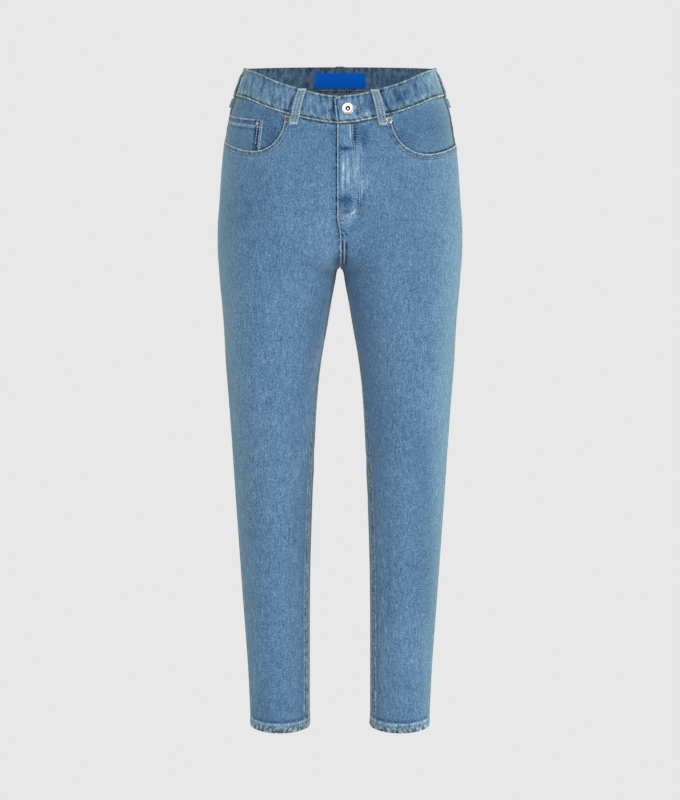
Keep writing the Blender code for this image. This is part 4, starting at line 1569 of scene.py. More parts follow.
@dataclass
class FrontPanel(LegPanel):
    """A front leg panel, from waist seam and pocket mouth to hem."""

    top_rows: int = 46

    def top_profile(self) -> tuple[Array, Array]:
        """Arc and height of the columns' tops."""
        mouth = MOUTHS[self.side]
        reach = mouth.start - MOUTH_CLEAR
        along = graded(reach, fine=0.8, coarse=2.3, band=8.0, end=False) * reach
        waist = (along, waist_seam(Half.FRONT, along) - BUTT_GAP)
        turn = np.radians(np.linspace(7.0, 90.0, 38))
        across = mouth.low - (mouth.low - mouth.start) * np.cos(turn)
        curve = (across, MOUTH_TOP - mouth.depth * np.sin(turn))
        xs = np.concatenate([waist[0], curve[0]])
        ups = np.concatenate([waist[1], curve[1]])
        arcs = SKIN.arc_at(Half.FRONT, xs, ups)
        low_share = arcs[-1] / SKIN.length(Half.FRONT, ups[-1])
        rest = graded(70.0, fine=0.8, coarse=2.3, band=9.0, start=False)[1:]
        shares = low_share + (1.0 - low_share) * rest
        spread = SKIN.across(Half.FRONT, shares, float(ups[-1]))
        last = mouth_height(mouth, spread)
        arcs = np.concatenate([arcs, shares * SKIN.length(Half.FRONT, last)])
        ups = np.concatenate([ups, last])
        if len(arcs) % 2 == 0:
            arcs, ups = np.delete(arcs, 16), np.delete(ups, 16)
        return arcs, ups

    def grid(self) -> tuple[Array, Array]:
        """Columns run from the top profile to even places at the hem."""
        arcs, ups = self.top_profile()
        spans = len(arcs) - 1
        weights = np.ones(spans)
        weights[:12] = 0.5
        weights[-12:] = 0.5
        foot = np.concatenate([[0.0], np.cumsum(weights)]) / weights.sum()
        tops = arcs / SKIN.length(Half.FRONT, ups)
        falls = np.linspace(0.0, 1.0, self.top_rows + 1)[:-1] ** 1.25
        up = self.heights(ups, falls)
        run = smooth_step((BLEND_TOP - up) / (BLEND_TOP - BLEND_FOOT))
        share = tops[None, :] + (foot - tops)[None, :] * run
        length = SKIN.length(Half.FRONT, up)
        arc = share * length
        arc = arc - SEAM_GAP / 2 * share**8
        edge = -self.side.value * fly_edge(up) + SEAM_GAP / 2
        return arc + edge * np.clip(1.0 - arc / FLY_EASE_IN, 0.0, 1.0), up

    def lift(self, across: Array, up: Array) -> Array:
        """The fly on the wearer's left stands above the front."""
        if self.side is Side.RIGHT:
            return np.zeros(across.shape)
        turn = FLY_FOOT + FLY_TURN
        drop = np.clip((turn - up) / FLY_TURN, 0.0, 1.0)
        limit = FLY_WIDTH * np.sqrt(1.0 - drop**2)
        return FLY_RAISE * smooth_step((limit - across) / FLY_STEP + 0.5)

    def fly_rows(self) -> list[Array]:
        """The two rows of stitching that curve in at the fly's foot."""
        turn = FLY_FOOT + FLY_TURN
        rows = []
        for upper, width, foot in FLY_ROWS:
            top = float(waist_seam(Half.FRONT, upper))
            straight = line_of(lambda h, a=upper, b=width: (
                a + (b - a) * smooth_step((FLY_BEND - h) / FLY_BEND_RUN), h), top, turn, 6.0)
            angle = np.linspace(0.0, FLY_ROW_SWEEP, 14)[1:]
            curve = np.column_stack([width * np.cos(angle), turn - foot * np.sin(angle)])
            rows.append(np.concatenate([straight, curve]))
        return rows

    def seams(self) -> list[Seam]:
        """Fly or its under edge, rise, inseam, side seam, waist, mouth and hem."""
        sign = self.side.value
        mouth = MOUTHS[self.side]
        left = self.side is Side.LEFT
        top = float(waist_seam(Half.FRONT, 0.0)) - BUTT_GAP
        fly = line_of(lambda h: (-sign * fly_edge(h), h), top, FLY_EASE_FOOT, 6.0)
        rise = plumb(0.0, FLY_EASE_FOOT, CROTCH)
        inner = plumb(0.0, CROTCH, HEM)
        waist = line_of(lambda x: (x, waist_seam(Half.FRONT, x) - BUTT_GAP), 0.0,
                        mouth.start - MOUTH_CLEAR, 6.0)
        turns = np.radians(np.linspace(0.0, 90.0, 24))
        xs = mouth.low - (mouth.low - mouth.start) * np.cos(turns)
        xs = np.concatenate([xs, np.linspace(mouth.low, float(OUTER(HIP_LEVEL)), 12)[1:]])
        ups = mouth_height(mouth, xs)
        ups[0] = MOUTH_TOP
        curve = np.column_stack([SKIN.arc_at(Half.FRONT, xs, ups), ups])
        seed = 0.9 if left else 2.3
        return [
            Seam(Sewing.FLY if left else Sewing.FLY_UNDER, fly, 1, seed, stitched=left),
            Seam(Sewing.RISE if left else Sewing.RISE_UNDER, rise, 1, seed + 1, left, (0, 6)),
            Seam(Sewing.INSEAM_UNDER, inner, 1, seed + 2, False),
            Seam(Sewing.OUTSEAM, self.side_line(float(ups[-1])), -1, seed + 3, False),
            Seam(Sewing.WAIST, waist, -1, seed + 4, False),
            Seam(Sewing.MOUTH, curve, -1, seed + 5),
            Seam(Sewing.HEM, self.hem_line(), 1, seed + 6),
        ]

    def relief(self, across: Array, up: Array) -> Array:
        """The seams' relief, with the fly's stitching drawn in on the wearer's left."""
        total = super().relief(across, up)
        if self.side is Side.LEFT:
            for number, row in enumerate(self.fly_rows()):
                apart, run = Seam(Sewing.PLAIN, row, 1).measure(across, up)
                total -= 0.3 * hump(apart, 0.9)
                total += 0.28 * ripple(run, 11.0, 4.0 + number) * hump(apart, 5.0)
        return total

    def sew(self) -> Threads:
        """The seams' stitches, with the fly's rows and a bar tack."""
        threads = super().sew()
        if self.side is Side.LEFT:
            for row in self.fly_rows():
                seam = Seam(Sewing.PLAIN, row, 1, skip=(4.0, 1.0))
                self.lay_row(threads, seam.offset(0.0, Threads.PITCH))
            tack_rows(self, threads, (15.5, FLY_FOOT + 12.5), (23.0, FLY_FOOT + 17.5), 2.4)
        return threads

    def tacks(self) -> Threads:
        """The bar tack at the fly's foot."""
        threads = Threads()
        if self.side is Side.LEFT:
            tack_rows(self, threads, (-1.2, FLY_FOOT + 21.0), (0.6, FLY_FOOT - 6.5), 2.4)
        return threads

    def wear(self, across: Array, up: Array) -> dict[str, Array]:
        """The fly's rows lie in dark grooves between rubbed welts."""
        values = super().wear(across, up)
        for row in self.fly_rows() if self.side is Side.LEFT else ():
            apart, run = Seam(Sewing.PLAIN, row, 1).measure(across, up)
            uneven = 1.0 + 0.4 * ripple(run, 15.0, 2.0)
            values["fade"] -= 0.13 * uneven * hump(apart, 1.4)
            values["fade"] += 0.15 * uneven * hump(apart - 2.6, 1.2)
        return values

    def fades(self) -> Sequence[Fade]:
        """Rubbed and dark patches round the fly, wear on the thigh, and painted light and shade."""
        thigh = (Fade(95.0, -430.0, 60.0, 170.0, 0.035), Fade(70.0, -700.0, 45.0, 160.0, 0.02))
        # The pale inner thigh is partly wear and partly painted light, more on the wearer's right
        rubbed = 0.12 if self.side is Side.LEFT else 0.19
        inner = Fade(14.0, -405.0, 24.0, 150.0, rubbed)
        shin = Fade(70.0, -860.0, 60.0, 110.0, 0.05)
        if self.side is Side.RIGHT:
            # Its first patch is painted shade at the crotch
            return (Fade(3.0, -276.0, 9.0, 16.0, -0.26), Fade(10.0, -85.0, 8.0, 12.0, -0.06),
                    Fade(30.0, -215.0, 22.0, 40.0, 0.03), inner, *thigh)
        return (
            Fade(5.0, -146.0, 2.6, 27.0, 0.35),
            Fade(9.6, -143.0, 1.8, 32.0, 0.27),
            Fade(7.4, -140.0, 0.8, 30.0, -0.26),
            Fade(13.6, -140.0, 1.5, 26.0, 0.23),
            Fade(11.8, -136.0, 0.8, 34.0, -0.34),
            Fade(20.6, -140.0, 1.4, 34.0, 0.21),
            Fade(25.5, -126.0, 1.6, 22.0, 0.25),
            Fade(31.0, -165.0, 2.6, 14.0, 0.21),
            Fade(38.0, -158.0, 4.5, 17.0, 0.14),
            Fade(34.0, -176.0, 2.4, 9.0, -0.23),
            Fade(8.0, -108.0, 9.0, 3.0, -0.39),
            Fade(8.0, -98.0, 4.0, 7.0, 0.14),
            Fade(15.0, -90.0, 2.5, 14.0, 0.17),
            Fade(21.0, -88.0, 3.4, 18.0, -0.49),
            Fade(33.0, -92.0, 9.0, 16.0, -0.21),
            Fade(29.0, -104.0, 1.6, 10.0, 0.14),
            Fade(8.0, -181.0, 8.0, 8.0, -0.44),
            Fade(27.0, -186.0, 5.0, 16.0, -0.21),
            Fade(21.0, -196.0, 2.4, 8.0, 0.18),
            Fade(12.0, -203.0, 6.0, 2.4, 0.21),
            Fade(9.0, -197.0, 5.0, 2.4, -0.26),
            # Painted shade at the crotch
            Fade(3.0, -276.0, 10.0, 16.0, -0.26),
            Fade(45.0, -245.0, 30.0, 45.0, -0.04),
            shin,
            # Painted shade towards the shin's side seam, and painted light along its inner edge
            Fade(104.0, -790.0, 24.0, 260.0, -0.10),
            Fade(14.0, -790.0, 18.0, 260.0, 0.07),
            *thigh,
        )

    def creases(self) -> Sequence[Crease]:
        """Drag lines towards the crotch, and a long soft fold down the lower leg."""
        long_fold = (
            Crease(34.0, -690.0, 30.0, -905.0, 6.0, -0.8),
            Crease(88.0, -820.0, 92.0, -975.0, 7.0, 0.9),
            Crease(100.0, -560.0, 92.0, -640.0, 9.0, -0.7),
        )
        if self.side is Side.RIGHT:
            return (Crease(14.0, -262.0, 95.0, -205.0, 7.0, 0.8),
                    Crease(12.0, -276.0, 80.0, -246.0, 6.0, -0.7),
                    Crease(22.0, -300.0, 88.0, -330.0, 8.0, 0.7), *long_fold)
        return (Crease(16.0, -258.0, 84.0, -222.0, 7.0, 0.7),
                Crease(12.0, -280.0, 92.0, -262.0, 6.0, -0.8),
                Crease(20.0, -306.0, 74.0, -345.0, 8.0, 0.6),
                Crease(7.0, -110.0, 9.0, -168.0, 2.6, 0.5),
                Crease(13.5, -104.0, 12.5, -172.0, 2.2, -0.4), *long_fold)


def tack_rows(piece: Cloth, threads: Threads, start: tuple[float, float],
              end: tuple[float, float], width: float) -> None:
    """Close zigzag stitches across a line between two flat places.

    Args:
        piece: The cloth that they are sewn to.
        threads: Where the stitches are gathered.
        start: First end of the tack.
        end: Last end.
        width: Length of each stitch across the line.
    """
    first, last = np.array(start), np.array(end)
    span = math.dist(start, end)
    along = (last - first) / span
    over = np.array([-along[1], along[0]]) * width / 2
    marks = first + along * np.arange(0.0, span, 0.62)[:, None]
    lean = along * 0.3
    low = marks - over - lean
    high = marks + over + lean
    out = piece.surface(*marks.T, above=1.0) - piece.surface(*marks.T)
    threads.add_stitches(piece.surface(*low.T, above=0.15), piece.surface(*high.T, above=0.15),
                         out)


@dataclass
class BackPanel(LegPanel):
    """A back leg panel, from yoke seam to hem."""

    half: Half = Half.BACK
    top_rows: int = 24

    def grid(self) -> tuple[Array, Array]:
        """Columns keep their share of the half ring all the way down."""
        share = graded(250.0, fine=0.9, coarse=2.4, band=12.0)
        tops = yoke_seam(share) - SEAM_GAP
        falls = np.linspace(0.0, 1.0, self.top_rows + 1)[:-1]
        up = self.heights(tops, falls)
        return self.arcs(share, up), up

    def seams(self) -> list[Seam]:
        """Yoke, seat seam, inseam, side seam and hem."""
        left = self.side is Side.LEFT
        seed = 4.1 if left else 5.7
        shares = np.linspace(0.0, 1.0, 26)
        tops = yoke_seam(shares)
        yoke_line = np.column_stack([shares * SKIN.length(Half.BACK, tops), tops])
        centre = plumb(0.0, YOKE_CENTRE, CROTCH)
        inner = plumb(0.0, CROTCH, HEM)
        return [
            Seam(Sewing.YOKE, yoke_line, -1, seed),
            Seam(Sewing.RISE if left else Sewing.RISE_UNDER, centre, 1, seed + 1, left, (0, 6)),
            Seam(Sewing.INSEAM, inner, 1, seed + 2, True, (6, 0)),
            Seam(Sewing.OUTSEAM, self.side_line(YOKE_SIDE), -1, seed + 3, False),
            Seam(Sewing.HEM, self.hem_line(), 1, seed + 4),
        ]

    def fades(self) -> Sequence[Fade]:
        """Wear on the seat, darker behind the knee, and painted shade at the crotch."""
        return (Fade(105.0, -225.0, 60.0, 50.0, 0.06), Fade(60.0, -600.0, 50.0, 60.0, -0.03),
                # The first patch here is painted shade at the crotch
                Fade(8.0, -275.0, 14.0, 30.0, -0.10), Fade(75.0, -390.0, 60.0, 80.0, 0.03))

    def creases(self) -> Sequence[Crease]:
        """Folds under the seat and behind the knee, uneven on the two sides."""
        if self.side is Side.RIGHT:
            return (Crease(14.0, -312.0, 120.0, -290.0, 8.0, -1.5),
                    Crease(18.0, -336.0, 96.0, -322.0, 8.0, 1.0),
                    Crease(30.0, -566.0, 118.0, -590.0, 9.0, -1.3),
                    Crease(24.0, -598.0, 104.0, -610.0, 9.0, 1.0),
                    Crease(60.0, -640.0, 122.0, -628.0, 8.0, -0.8),
                    Crease(46.0, -760.0, 54.0, -940.0, 8.0, 0.9))
        return (Crease(12.0, -306.0, 104.0, -296.0, 8.0, -1.4),
                Crease(20.0, -330.0, 118.0, -312.0, 8.0, 1.1),
                Crease(22.0, -578.0, 110.0, -566.0, 9.0, -1.2),
                Crease(36.0, -604.0, 126.0, -592.0, 9.0, 1.1),
                Crease(30.0, -636.0, 90.0, -646.0, 8.0, -0.9),
                Crease(70.0, -740.0, 60.0, -920.0, 8.0, 0.9))


def hip_share(across: float) -> float:
    """Share of the front half ring at a distance from the centre, at the hip."""
    return float(SKIN.arc_at(Half.FRONT, across, HIP_LEVEL)) / SKIN.length(Half.FRONT, HIP_LEVEL)


def yoke_seam(share: Array | float) -> Array:
    """Height of the yoke seam by share of the back's arc from the centre."""
    return YOKE_CENTRE + (YOKE_SIDE - YOKE_CENTRE) * np.asarray(share)


@dataclass
class Yoke(Cloth):
    """The back yoke between the waistband and the back panel."""

    half: Half = Half.BACK
    piece: str = "back_yoke_{side}"
    stands_for: str = "yoke_{side}"
    rows: int = 33

    def top(self, share: Array) -> Array:
        """Height of the yoke's upper edge."""
        spread = SKIN.across(Half.BACK, share, BACK_SEAM_LEVEL)
        return waist_seam(Half.BACK, spread) - BUTT_GAP

    def grid(self) -> tuple[Array, Array]:
        """Rows run from the band's foot to the yoke seam."""
        share = graded(230.0, fine=0.9, coarse=2.3, band=12.0)
        top, foot = self.top(share), yoke_seam(share) + SEAM_GAP
        falls = np.linspace(0.0, 1.0, self.rows)
        up = rows_between(top, foot, falls)
        return self.arcs(share, up), up

    def seams(self) -> list[Seam]:
        """Waist seam, yoke seam, centre seam and side seam."""
        left = self.side is Side.LEFT
        shares = np.linspace(0.0, 1.0, 26)
        top, foot = self.top(shares), yoke_seam(shares)
        upper = np.column_stack([shares * SKIN.length(Half.BACK, top), top])
        lower = np.column_stack([shares * SKIN.length(Half.BACK, foot), foot])
        centre = plumb(0.0, top[0], foot[0])
        end = line_of(lambda h: (SKIN.length(Half.BACK, h), h), top[-1], foot[-1], 6.0)
        seed = 6.2 if left else 7.4
        return [
            Seam(Sewing.WAIST, upper, -1, seed, False),
            Seam(Sewing.RISE_UNDER, lower, 1, seed + 1, False),
            Seam(Sewing.RISE if left else Sewing.RISE_UNDER, centre, 1, seed + 2, left),
            Seam(Sewing.OUTSEAM, end, -1, seed + 3, False),
        ]


@dataclass
class Waistband(Cloth):
    """The waistband, one strip whose ends lap at the centre front.

    Flat places are the distance along the strip from the wearer's left front,
    and the height below the band's top edge.
    """

    inner_shade: float = 0.02
    piece: str = "waistband_cloth"
    stands_for: str = "waistband"
    finish: Finish = Finish.BAND
    # The wearer holds the band, so it hangs from nothing here.
    hangs_from: tuple[str, ...] = ()
    thickness: float = BAND_WALL
    left_end: float = -OVERLAP_TOP
    step: float = 1.7

    def lengths(self) -> tuple[float, float]:
        """Arcs of a front and a back half at the band's level."""
        front, back = (float(SKIN.length(half, BAND_LEVEL)) for half in Half)
        return front, back

    def middle(self) -> float:
        """Place of the centre back, halfway round."""
        return sum(self.lengths())

    def stations(self, across: Array) -> tuple[Array, Array, Array]:
        """Find where places along the strip lie on the ring at the band's level.

        Args:
            across: Distance along the strip.

        Returns:
            The side's sign, the half's number and the arc from its centre.
        """
        front, back = self.lengths()
        side = np.where(across < front + back, 1, -1)
        on_back = (across >= front) & (across < front + 2 * back)
        arc = np.where(across < front, across, 0.0)
        arc = np.where((across >= front) & (side > 0), front + back - across, arc)
        arc = np.where(on_back & (side < 0), across - front - back, arc)
        arc = np.where(across >= front + 2 * back, 2 * (front + back) - across, arc)
        return side, on_back.astype(int), arc

    def edge_height(self, across: Array) -> Array:
        """Height of the band's top edge."""
        _, half, arc = self.stations(across)
        outer = float(OUTER(BAND_LEVEL))
        tops = []
        for which in Half:
            share = np.abs(arc) / SKIN.length(which, BAND_LEVEL)
            spread = np.minimum(1.0, SKIN.across(which, share, BAND_LEVEL) / outer)
            tops.append(band_top(which, spread))
        return np.where(half == 0, tops[0], tops[1])

    def ground(self, across: Array, up: Array) -> Ground:
        """Places keep their share of the half ring away from the lapped ends."""
        side, half, arc = self.stations(across)
        height = self.edge_height(across) + up
        scales = [SKIN.length(which, height) / SKIN.length(which, BAND_LEVEL) for which in Half]
        scale = np.where(half == 0, scales[0], scales[1])
        away = smooth_step((np.abs(arc) - 28.0) / 20.0)
        away = np.where(half == 0, away, 1.0)
        return Ground(side, half, arc * (1 + (scale - 1) * away), height)

    def grid(self) -> tuple[Array, Array]:
        """The strip, with its end slanted and its top corner cut off."""
        total = 2 * self.middle() + UNDERLAP + OVERLAP_TOP
        along = graded(total, fine=0.8, coarse=self.step, band=12.0) * total + self.left_end
        falls = graded(BAND_HEIGHT, fine=0.9, coarse=1.6, band=5.0)
        near = 1 - smooth_step((along - self.left_end) / 9.0)
        cut = OVERLAP_CHAMFER * np.clip((1.0 - along) / (1.0 + OVERLAP_TOP), 0.0, 1.0)
        up = -rows_between(cut, BAND_HEIGHT, falls)
        slant = (OVERLAP_TOP - OVERLAP_FOOT) * falls[:, None] * near[None, :]
        return along[None, :] + slant, up

    def lift(self, across: Array, up: Array) -> Array:
        """The face stands proud, and the under end dips behind the overlap."""
        side, half, arc = self.stations(across)
        ease_start = OVERLAP_TOP + 4.0 + UNDERLAP_EASE
        dip = smooth_step((ease_start - arc) / UNDERLAP_EASE)
        dip = np.where((half == 0) & (side < 0), dip, 0.0)
        return BAND_PROUD - (BAND_WALL + BUTT_GAP) * dip

    def seams(self) -> list[Seam]:
        """Top edge, foot and the lapped end."""
        total = 2 * self.middle() + UNDERLAP
        foot = self.left_end + OVERLAP_TOP - OVERLAP_FOOT
        top = np.column_stack([np.linspace(1.0, total, 90), np.zeros(90)])
        low = np.column_stack([np.linspace(foot, total, 90), np.full(90, -BAND_HEIGHT)])
        end = np.array([(1.0, 0.0), (self.left_end, -OVERLAP_CHAMFER),
                        (foot, -BAND_HEIGHT)])
        end = np.concatenate([np.linspace(a, b, 5)[:-1] for a, b in zip(end, end[1:])] + [end[-1:]])
        return [
            Seam(Sewing.BAND_TOP, top, -1, 1.1),
            Seam(Sewing.BAND_FOOT, low, 1, 2.7),
            Seam(Sewing.BAND_END, end, 1, 3.9),
        ]

    def fades(self) -> Sequence[Fade]:
        """Rubbed places round the button, painted shade in its slit, over the left side and beside
        the lapped end.
        """
        return (Fade(11.0, -16.0, 11.0, 12.0, 0.12), Fade(31.0, -20.0, 8.0, 14.0, -0.08),
                # The slit's dark line is painted shade inside the buttonhole
                Fade(16.0, -19.1, 5.6, 0.8, -0.5), Fade(33.0, -33.0, 14.0, 4.0, 0.10),
                # The first patch here is painted shade over the wearer's left side
                Fade(112.0, -20.0, 50.0, 30.0, -0.13), Fade(80.0, -18.0, 10.0, 14.0, -0.06),
                # Painted shadow on the under end, beside the overlap's end
                Fade(2 * self.middle() - 9.0, -20.0, 2.2, 30.0, -0.36))

    def wear(self, across: Array, up: Array) -> dict[str, Array]:
        """Streaks, a dark top edge along the back, and painted shadow close beside the belt loops.
        """
        values = super().wear(across, up)
        values["fade"] += 0.07 * ripple(across + 0.3 * up, 10.0, 1.7)
        centre = self.middle()
        back = self.stations(across)[1]
        values["ridge"] *= 1.0 - 0.9 * back
        values["fade"] -= 0.22 * back * hump(up, 1.6)
        # Painted shadow down both sides of each belt loop
        for plan in LOOPS:
            arc = plan.top_arc - (plan.foot_arc - plan.top_arc) * up / plan.length
            if plan.half is Half.BACK:
                middle = centre - plan.side.value * arc
            else:
                middle = arc if plan.side is Side.LEFT else 2 * centre - arc
            apart = np.abs(np.abs(across - middle) - LOOP_WIDTH / 2 - 0.9)
            values["fade"] -= 0.26 * hump(apart, 1.5)
        return values

    def sew(self) -> Threads:
        """The buttonhole's edge, and a row inside along the back."""
        threads = Threads()
        for start, end in (((4.0, -17.7), (21.0, -17.7)), ((4.0, -20.5), (21.0, -20.5)),
                           ((22.2, -17.0), (22.2, -21.2))):
            tack_rows(self, threads, start, end, 1.8)
        self.lay_row(threads, self.inner_row(-34.0, 88.0), -BAND_WALL - 0.1)
        return threads

    def tacks(self) -> Threads:
        """A second row inside along the back."""
        threads = Threads()
        self.lay_row(threads, self.inner_row(-36.4, 84.0), -BAND_WALL - 0.1)
        return threads

    def inner_row(self, up: float, reach: float) -> Array:
        """Flat places along the back of the band, this far to both sides."""
        marks = np.arange(self.middle() - reach, self.middle() + reach, Threads.PITCH)
        return np.column_stack([marks, np.full(marks.shape, up)])

    def reverse(self, across: Array, up: Array) -> Array:
        """The facing is the same cloth, its blue side out."""
        return np.zeros(across.shape)

    def flat_size(self) -> tuple[float, float, float]:
        """The strip's length and height."""
        across, _ = self.grid()
        length = float(np.ptp(across))
        return length, BAND_HEIGHT, length * BAND_HEIGHT


@dataclass
class HipFacing(Cloth):
    """The cloth behind a front pocket's mouth."""

    piece: str = "pocket_facing_{side}"
    stands_for: str = "hip_facing_{side}"
    material_slot: str = "denim_shade"
    above_skin: float = FACING_LIFT
    thickness: float = FACING_WALL

    def material(self) -> bpy.types.Material:
        """Denim that the wash reached less, on the side with the small pocket."""
        return self.finishes.deep if self.side is Side.RIGHT else self.finishes.denim

    def grid(self) -> tuple[Array, Array]:
        """From the waist seam to a little below the mouth."""
        mouth = MOUTHS[self.side]
        first = hip_share(mouth.start - 0.8 * FACING_UNDER)
        share = np.linspace(first, 1.0, 71)
        spread = SKIN.across(Half.FRONT, share, HIP_LEVEL)
        top = waist_seam(Half.FRONT, spread) - BUTT_GAP
        foot = mouth_height(mouth, spread, FACING_UNDER)
        up = rows_between(top, foot, np.linspace(0.0, 1.0, 45))
        length = SKIN.length(Half.FRONT, up)
        return np.minimum(share * length, length - SEAM_GAP), up

    def seams(self) -> list[Seam]:
        """The waist seam, the side seam and the shadow under the mouth's edge."""
        places = np.stack(self.grid(), axis=-1)
        mouth = MOUTHS[self.side]
        xs = np.linspace(mouth.start + 0.5, float(OUTER(HIP_LEVEL)), 40)
        ups = mouth_height(mouth, xs)
        edge = np.column_stack([SKIN.arc_at(Half.FRONT, xs, ups), ups])
        return [
            Seam(Sewing.WAIST, places[0], -1, 1.7, False),
            Seam(Sewing.PLAIN, places[:, -1], -1, 2.2, False),
            Seam(Sewing.SHADOW, edge, 1, 0.0, False),
        ]

    def fades(self) -> Sequence[Fade]:
        """Painted shade towards the inner end of the mouth, where it gapes, and on the left over
        the side.
        """
        # The first patch is painted shade where the mouth gapes; the second, on the left, painted
        # shade over the side
        inner = 100.0 if self.side is Side.RIGHT else 94.0
        strength = -0.12 if self.side is Side.RIGHT else -0.09
        shade = 0.0 if self.side is Side.RIGHT else -0.12
        return (Fade(inner, -96.0, 12.0, 20.0, strength), Fade(150.0, -80.0, 55.0, 40.0, shade))


@dataclass
class CoinPocket(Cloth):
    """The small patch pocket on the wearer's right hip facing."""

    side: Side = Side.RIGHT
    piece: str = "coin_pocket_cloth"
    stands_for: str = "coin_pocket"
    material_slot: str = "denim_shade"
    finish: Finish = Finish.DEEP
    hangs_from: tuple[str, ...] = ("hip_facing_right",)
    above_skin: float = FACING_LIFT + COIN_CLEAR + COIN_WALL
    thickness: float = COIN_WALL

    def grid(self) -> tuple[Array, Array]:
        """From its top hem to just above the mouth's edge."""
        first = hip_share(COIN_LEFT)
        part = graded(62.0, fine=0.7, coarse=1.4, band=11.0, end=False)
        share = first + (1.0 - first) * part
        spread = SKIN.across(Half.FRONT, share, HIP_LEVEL)
        top = COIN_TOP_INNER + (COIN_TOP_SIDE - COIN_TOP_INNER) * part
        foot = mouth_height(MOUTHS[Side.RIGHT], spread) + COIN_FOOT_GAP
        falls = graded(50.0, fine=0.8, coarse=1.4, band=12.0, end=False)
        up = rows_between(top, foot, falls)
        length = SKIN.length(Half.FRONT, up)
        return np.minimum(share * length, length - SEAM_GAP), up

    def seams(self) -> list[Seam]:
        """The hemmed top and the two rows down the inner side."""
        places = np.stack(self.grid(), axis=-1)
        return [Seam(Sewing.POCKET_TOP, places[0], -1, 3.3),
                Seam(Sewing.POCKET, places[:, 0], 1, 4.4)]

    def fades(self) -> Sequence[Fade]:
        """Dark between the two rows at its side, and pale over the hem."""
        return (Fade(124.5, -95.0, 3.6, 24.0, -0.20), Fade(150.0, -66.0, 30.0, 5.0, 0.08))


@dataclass
class FlyFacing(Cloth):
    """The strip sewn behind the fly on the wearer's left."""

    piece: str = "fly_facing_cloth"
    stands_for: str = "fly_facing"
    material_slot: str = "denim_shade"
    finish: Finish = Finish.DEEP
    above_skin: float = FLY_RAISE - WALL - FLY_FACING_CLEAR
    thickness: float = FACING_WALL

    def grid(self) -> tuple[Array, Array]:
        """A plain strip."""
        top = float(waist_seam(Half.FRONT, 0.0)) - BUTT_GAP
        return even_grid((-2.5, FLY_WIDTH - 4.5, 13), (top, FLY_FOOT + FLY_TURN, 61))

    def seams(self) -> list[Seam]:
        """Its folded edge."""
        return [Seam(Sewing.PLAIN, np.stack(self.grid(), axis=-1)[:, 0], 1, 5.1, False)]


@dataclass
class BackPocket(Cloth):
    """A five-sided patch pocket on the back, plain."""

    half: Half = Half.BACK
    piece: str = "patch_pocket_{side}"
    stands_for: str = "back_pocket_{side}"
    hangs_from: tuple[str, ...] = ("back_{side}",)
    above_skin: float = PATCH_CLEAR + PATCH_WALL
    thickness: float = PATCH_WALL + PATCH_REACH

    def outline(self, share: Array, fall: Array) -> tuple[Array, Array]:
        """Places inside the pocket's five sides.

        Args:
            share: Share of the width, from the inner side.
            fall: Share of the way down.

        Returns:
            Arc and height there.
        """
        top = PATCH_TOP_INNER + (PATCH_TOP_OUTER - PATCH_TOP_INNER) * share
        foot = PATCH_POINT + (PATCH_CORNER - PATCH_POINT) * np.abs(2 * share - 1)
        up = top + (foot - top) * fall
        arc = PATCH_INNER + PATCH_TAPER * fall + (PATCH_WIDTH - 2 * PATCH_TAPER * fall) * share
        return arc * SKIN.length(Half.BACK, up) / SKIN.length(Half.BACK, PATCH_LEVEL), up

    def grid(self) -> tuple[Array, Array]:
        """Rows from the hemmed top to the pointed foot."""
        share = graded(PATCH_WIDTH, fine=0.8, coarse=1.9, band=10.0)
        fall = graded(130.0, fine=0.8, coarse=1.9, band=11.0)
        return self.outline(share[None, :], fall[:, None])

    def seams(self) -> list[Seam]:
        """The hemmed top and the sewn sides and foot."""
        run = np.linspace(0.0, 1.0, 15)
        top = np.column_stack(self.outline(run, np.zeros(15)))
        down = np.column_stack(self.outline(np.zeros(15), run))
        foot_in = np.column_stack(self.outline(run / 2, np.ones(15)))
        foot_out = np.column_stack(self.outline(0.5 + run / 2, np.ones(15)))
        rise = np.column_stack(self.outline(np.ones(15), run[::-1]))
        around = np.concatenate([down, foot_in[1:], foot_out[1:], rise[1:]])
        seed = 8.1 if self.side is Side.LEFT else 9.2
        return [Seam(Sewing.POCKET_TOP, top, -1, seed), Seam(Sewing.POCKET, around, 1, seed + 1)]

    def fades(self) -> Sequence[Fade]:
        """Rubbed across the middle."""
        return (Fade(110.0, -200.0, 55.0, 36.0, 0.07), Fade(140.0, -140.0, 20.0, 8.0, 0.06))

    def sew(self) -> Threads:
        """The rows, with a bar tack at each top corner."""
        threads = super().sew()
        for share, lean in ((0.0, 1), (1.0, -1)):
            arc, up = self.outline(np.array([share]), np.array([0.0]))
            place = (float(arc[0]) + lean * 2.6, float(up[0]) - 1.2)
            tack_rows(self, threads, place, (place[0], place[1] - 9.0), 2.6)
        return threads


@dataclass(frozen=True)
class LoopPlan:
    """Where a belt loop sits.

    It gives the arcs of its two ends, its length, its room for a belt, and how far
    its fold stands above the band.
    """

    node: str
    side: Side
    half: Half
    top_arc: float
    foot_arc: float
    length: float
    space: float
    above: float


LOOPS = (
    LoopPlan("belt_loop_front_right", Side.RIGHT, Half.FRONT, 53.5, 66.5, 51.0, 3.6, 1.0),
    LoopPlan("belt_loop_front_left", Side.LEFT, Half.FRONT, 49.0, 61.5, 51.0, 3.6, 1.0),
    LoopPlan("belt_loop_side_right", Side.RIGHT, Half.BACK, 171.0, 192.0, 58.0, 2.2, 0.4),
    LoopPlan("belt_loop_side_left", Side.LEFT, Half.BACK, 171.0, 192.0, 58.0, 2.2, 0.4),
    LoopPlan("belt_loop_back", Side.LEFT, Half.BACK, 0.0, 0.0, 57.0, 5.4, 0.6),
)


@dataclass(frozen=True)
class LoopStep:
    """Along a belt loop: share of its length, of the belt room, and layers."""

    down: float
    rise: float
    layers: float


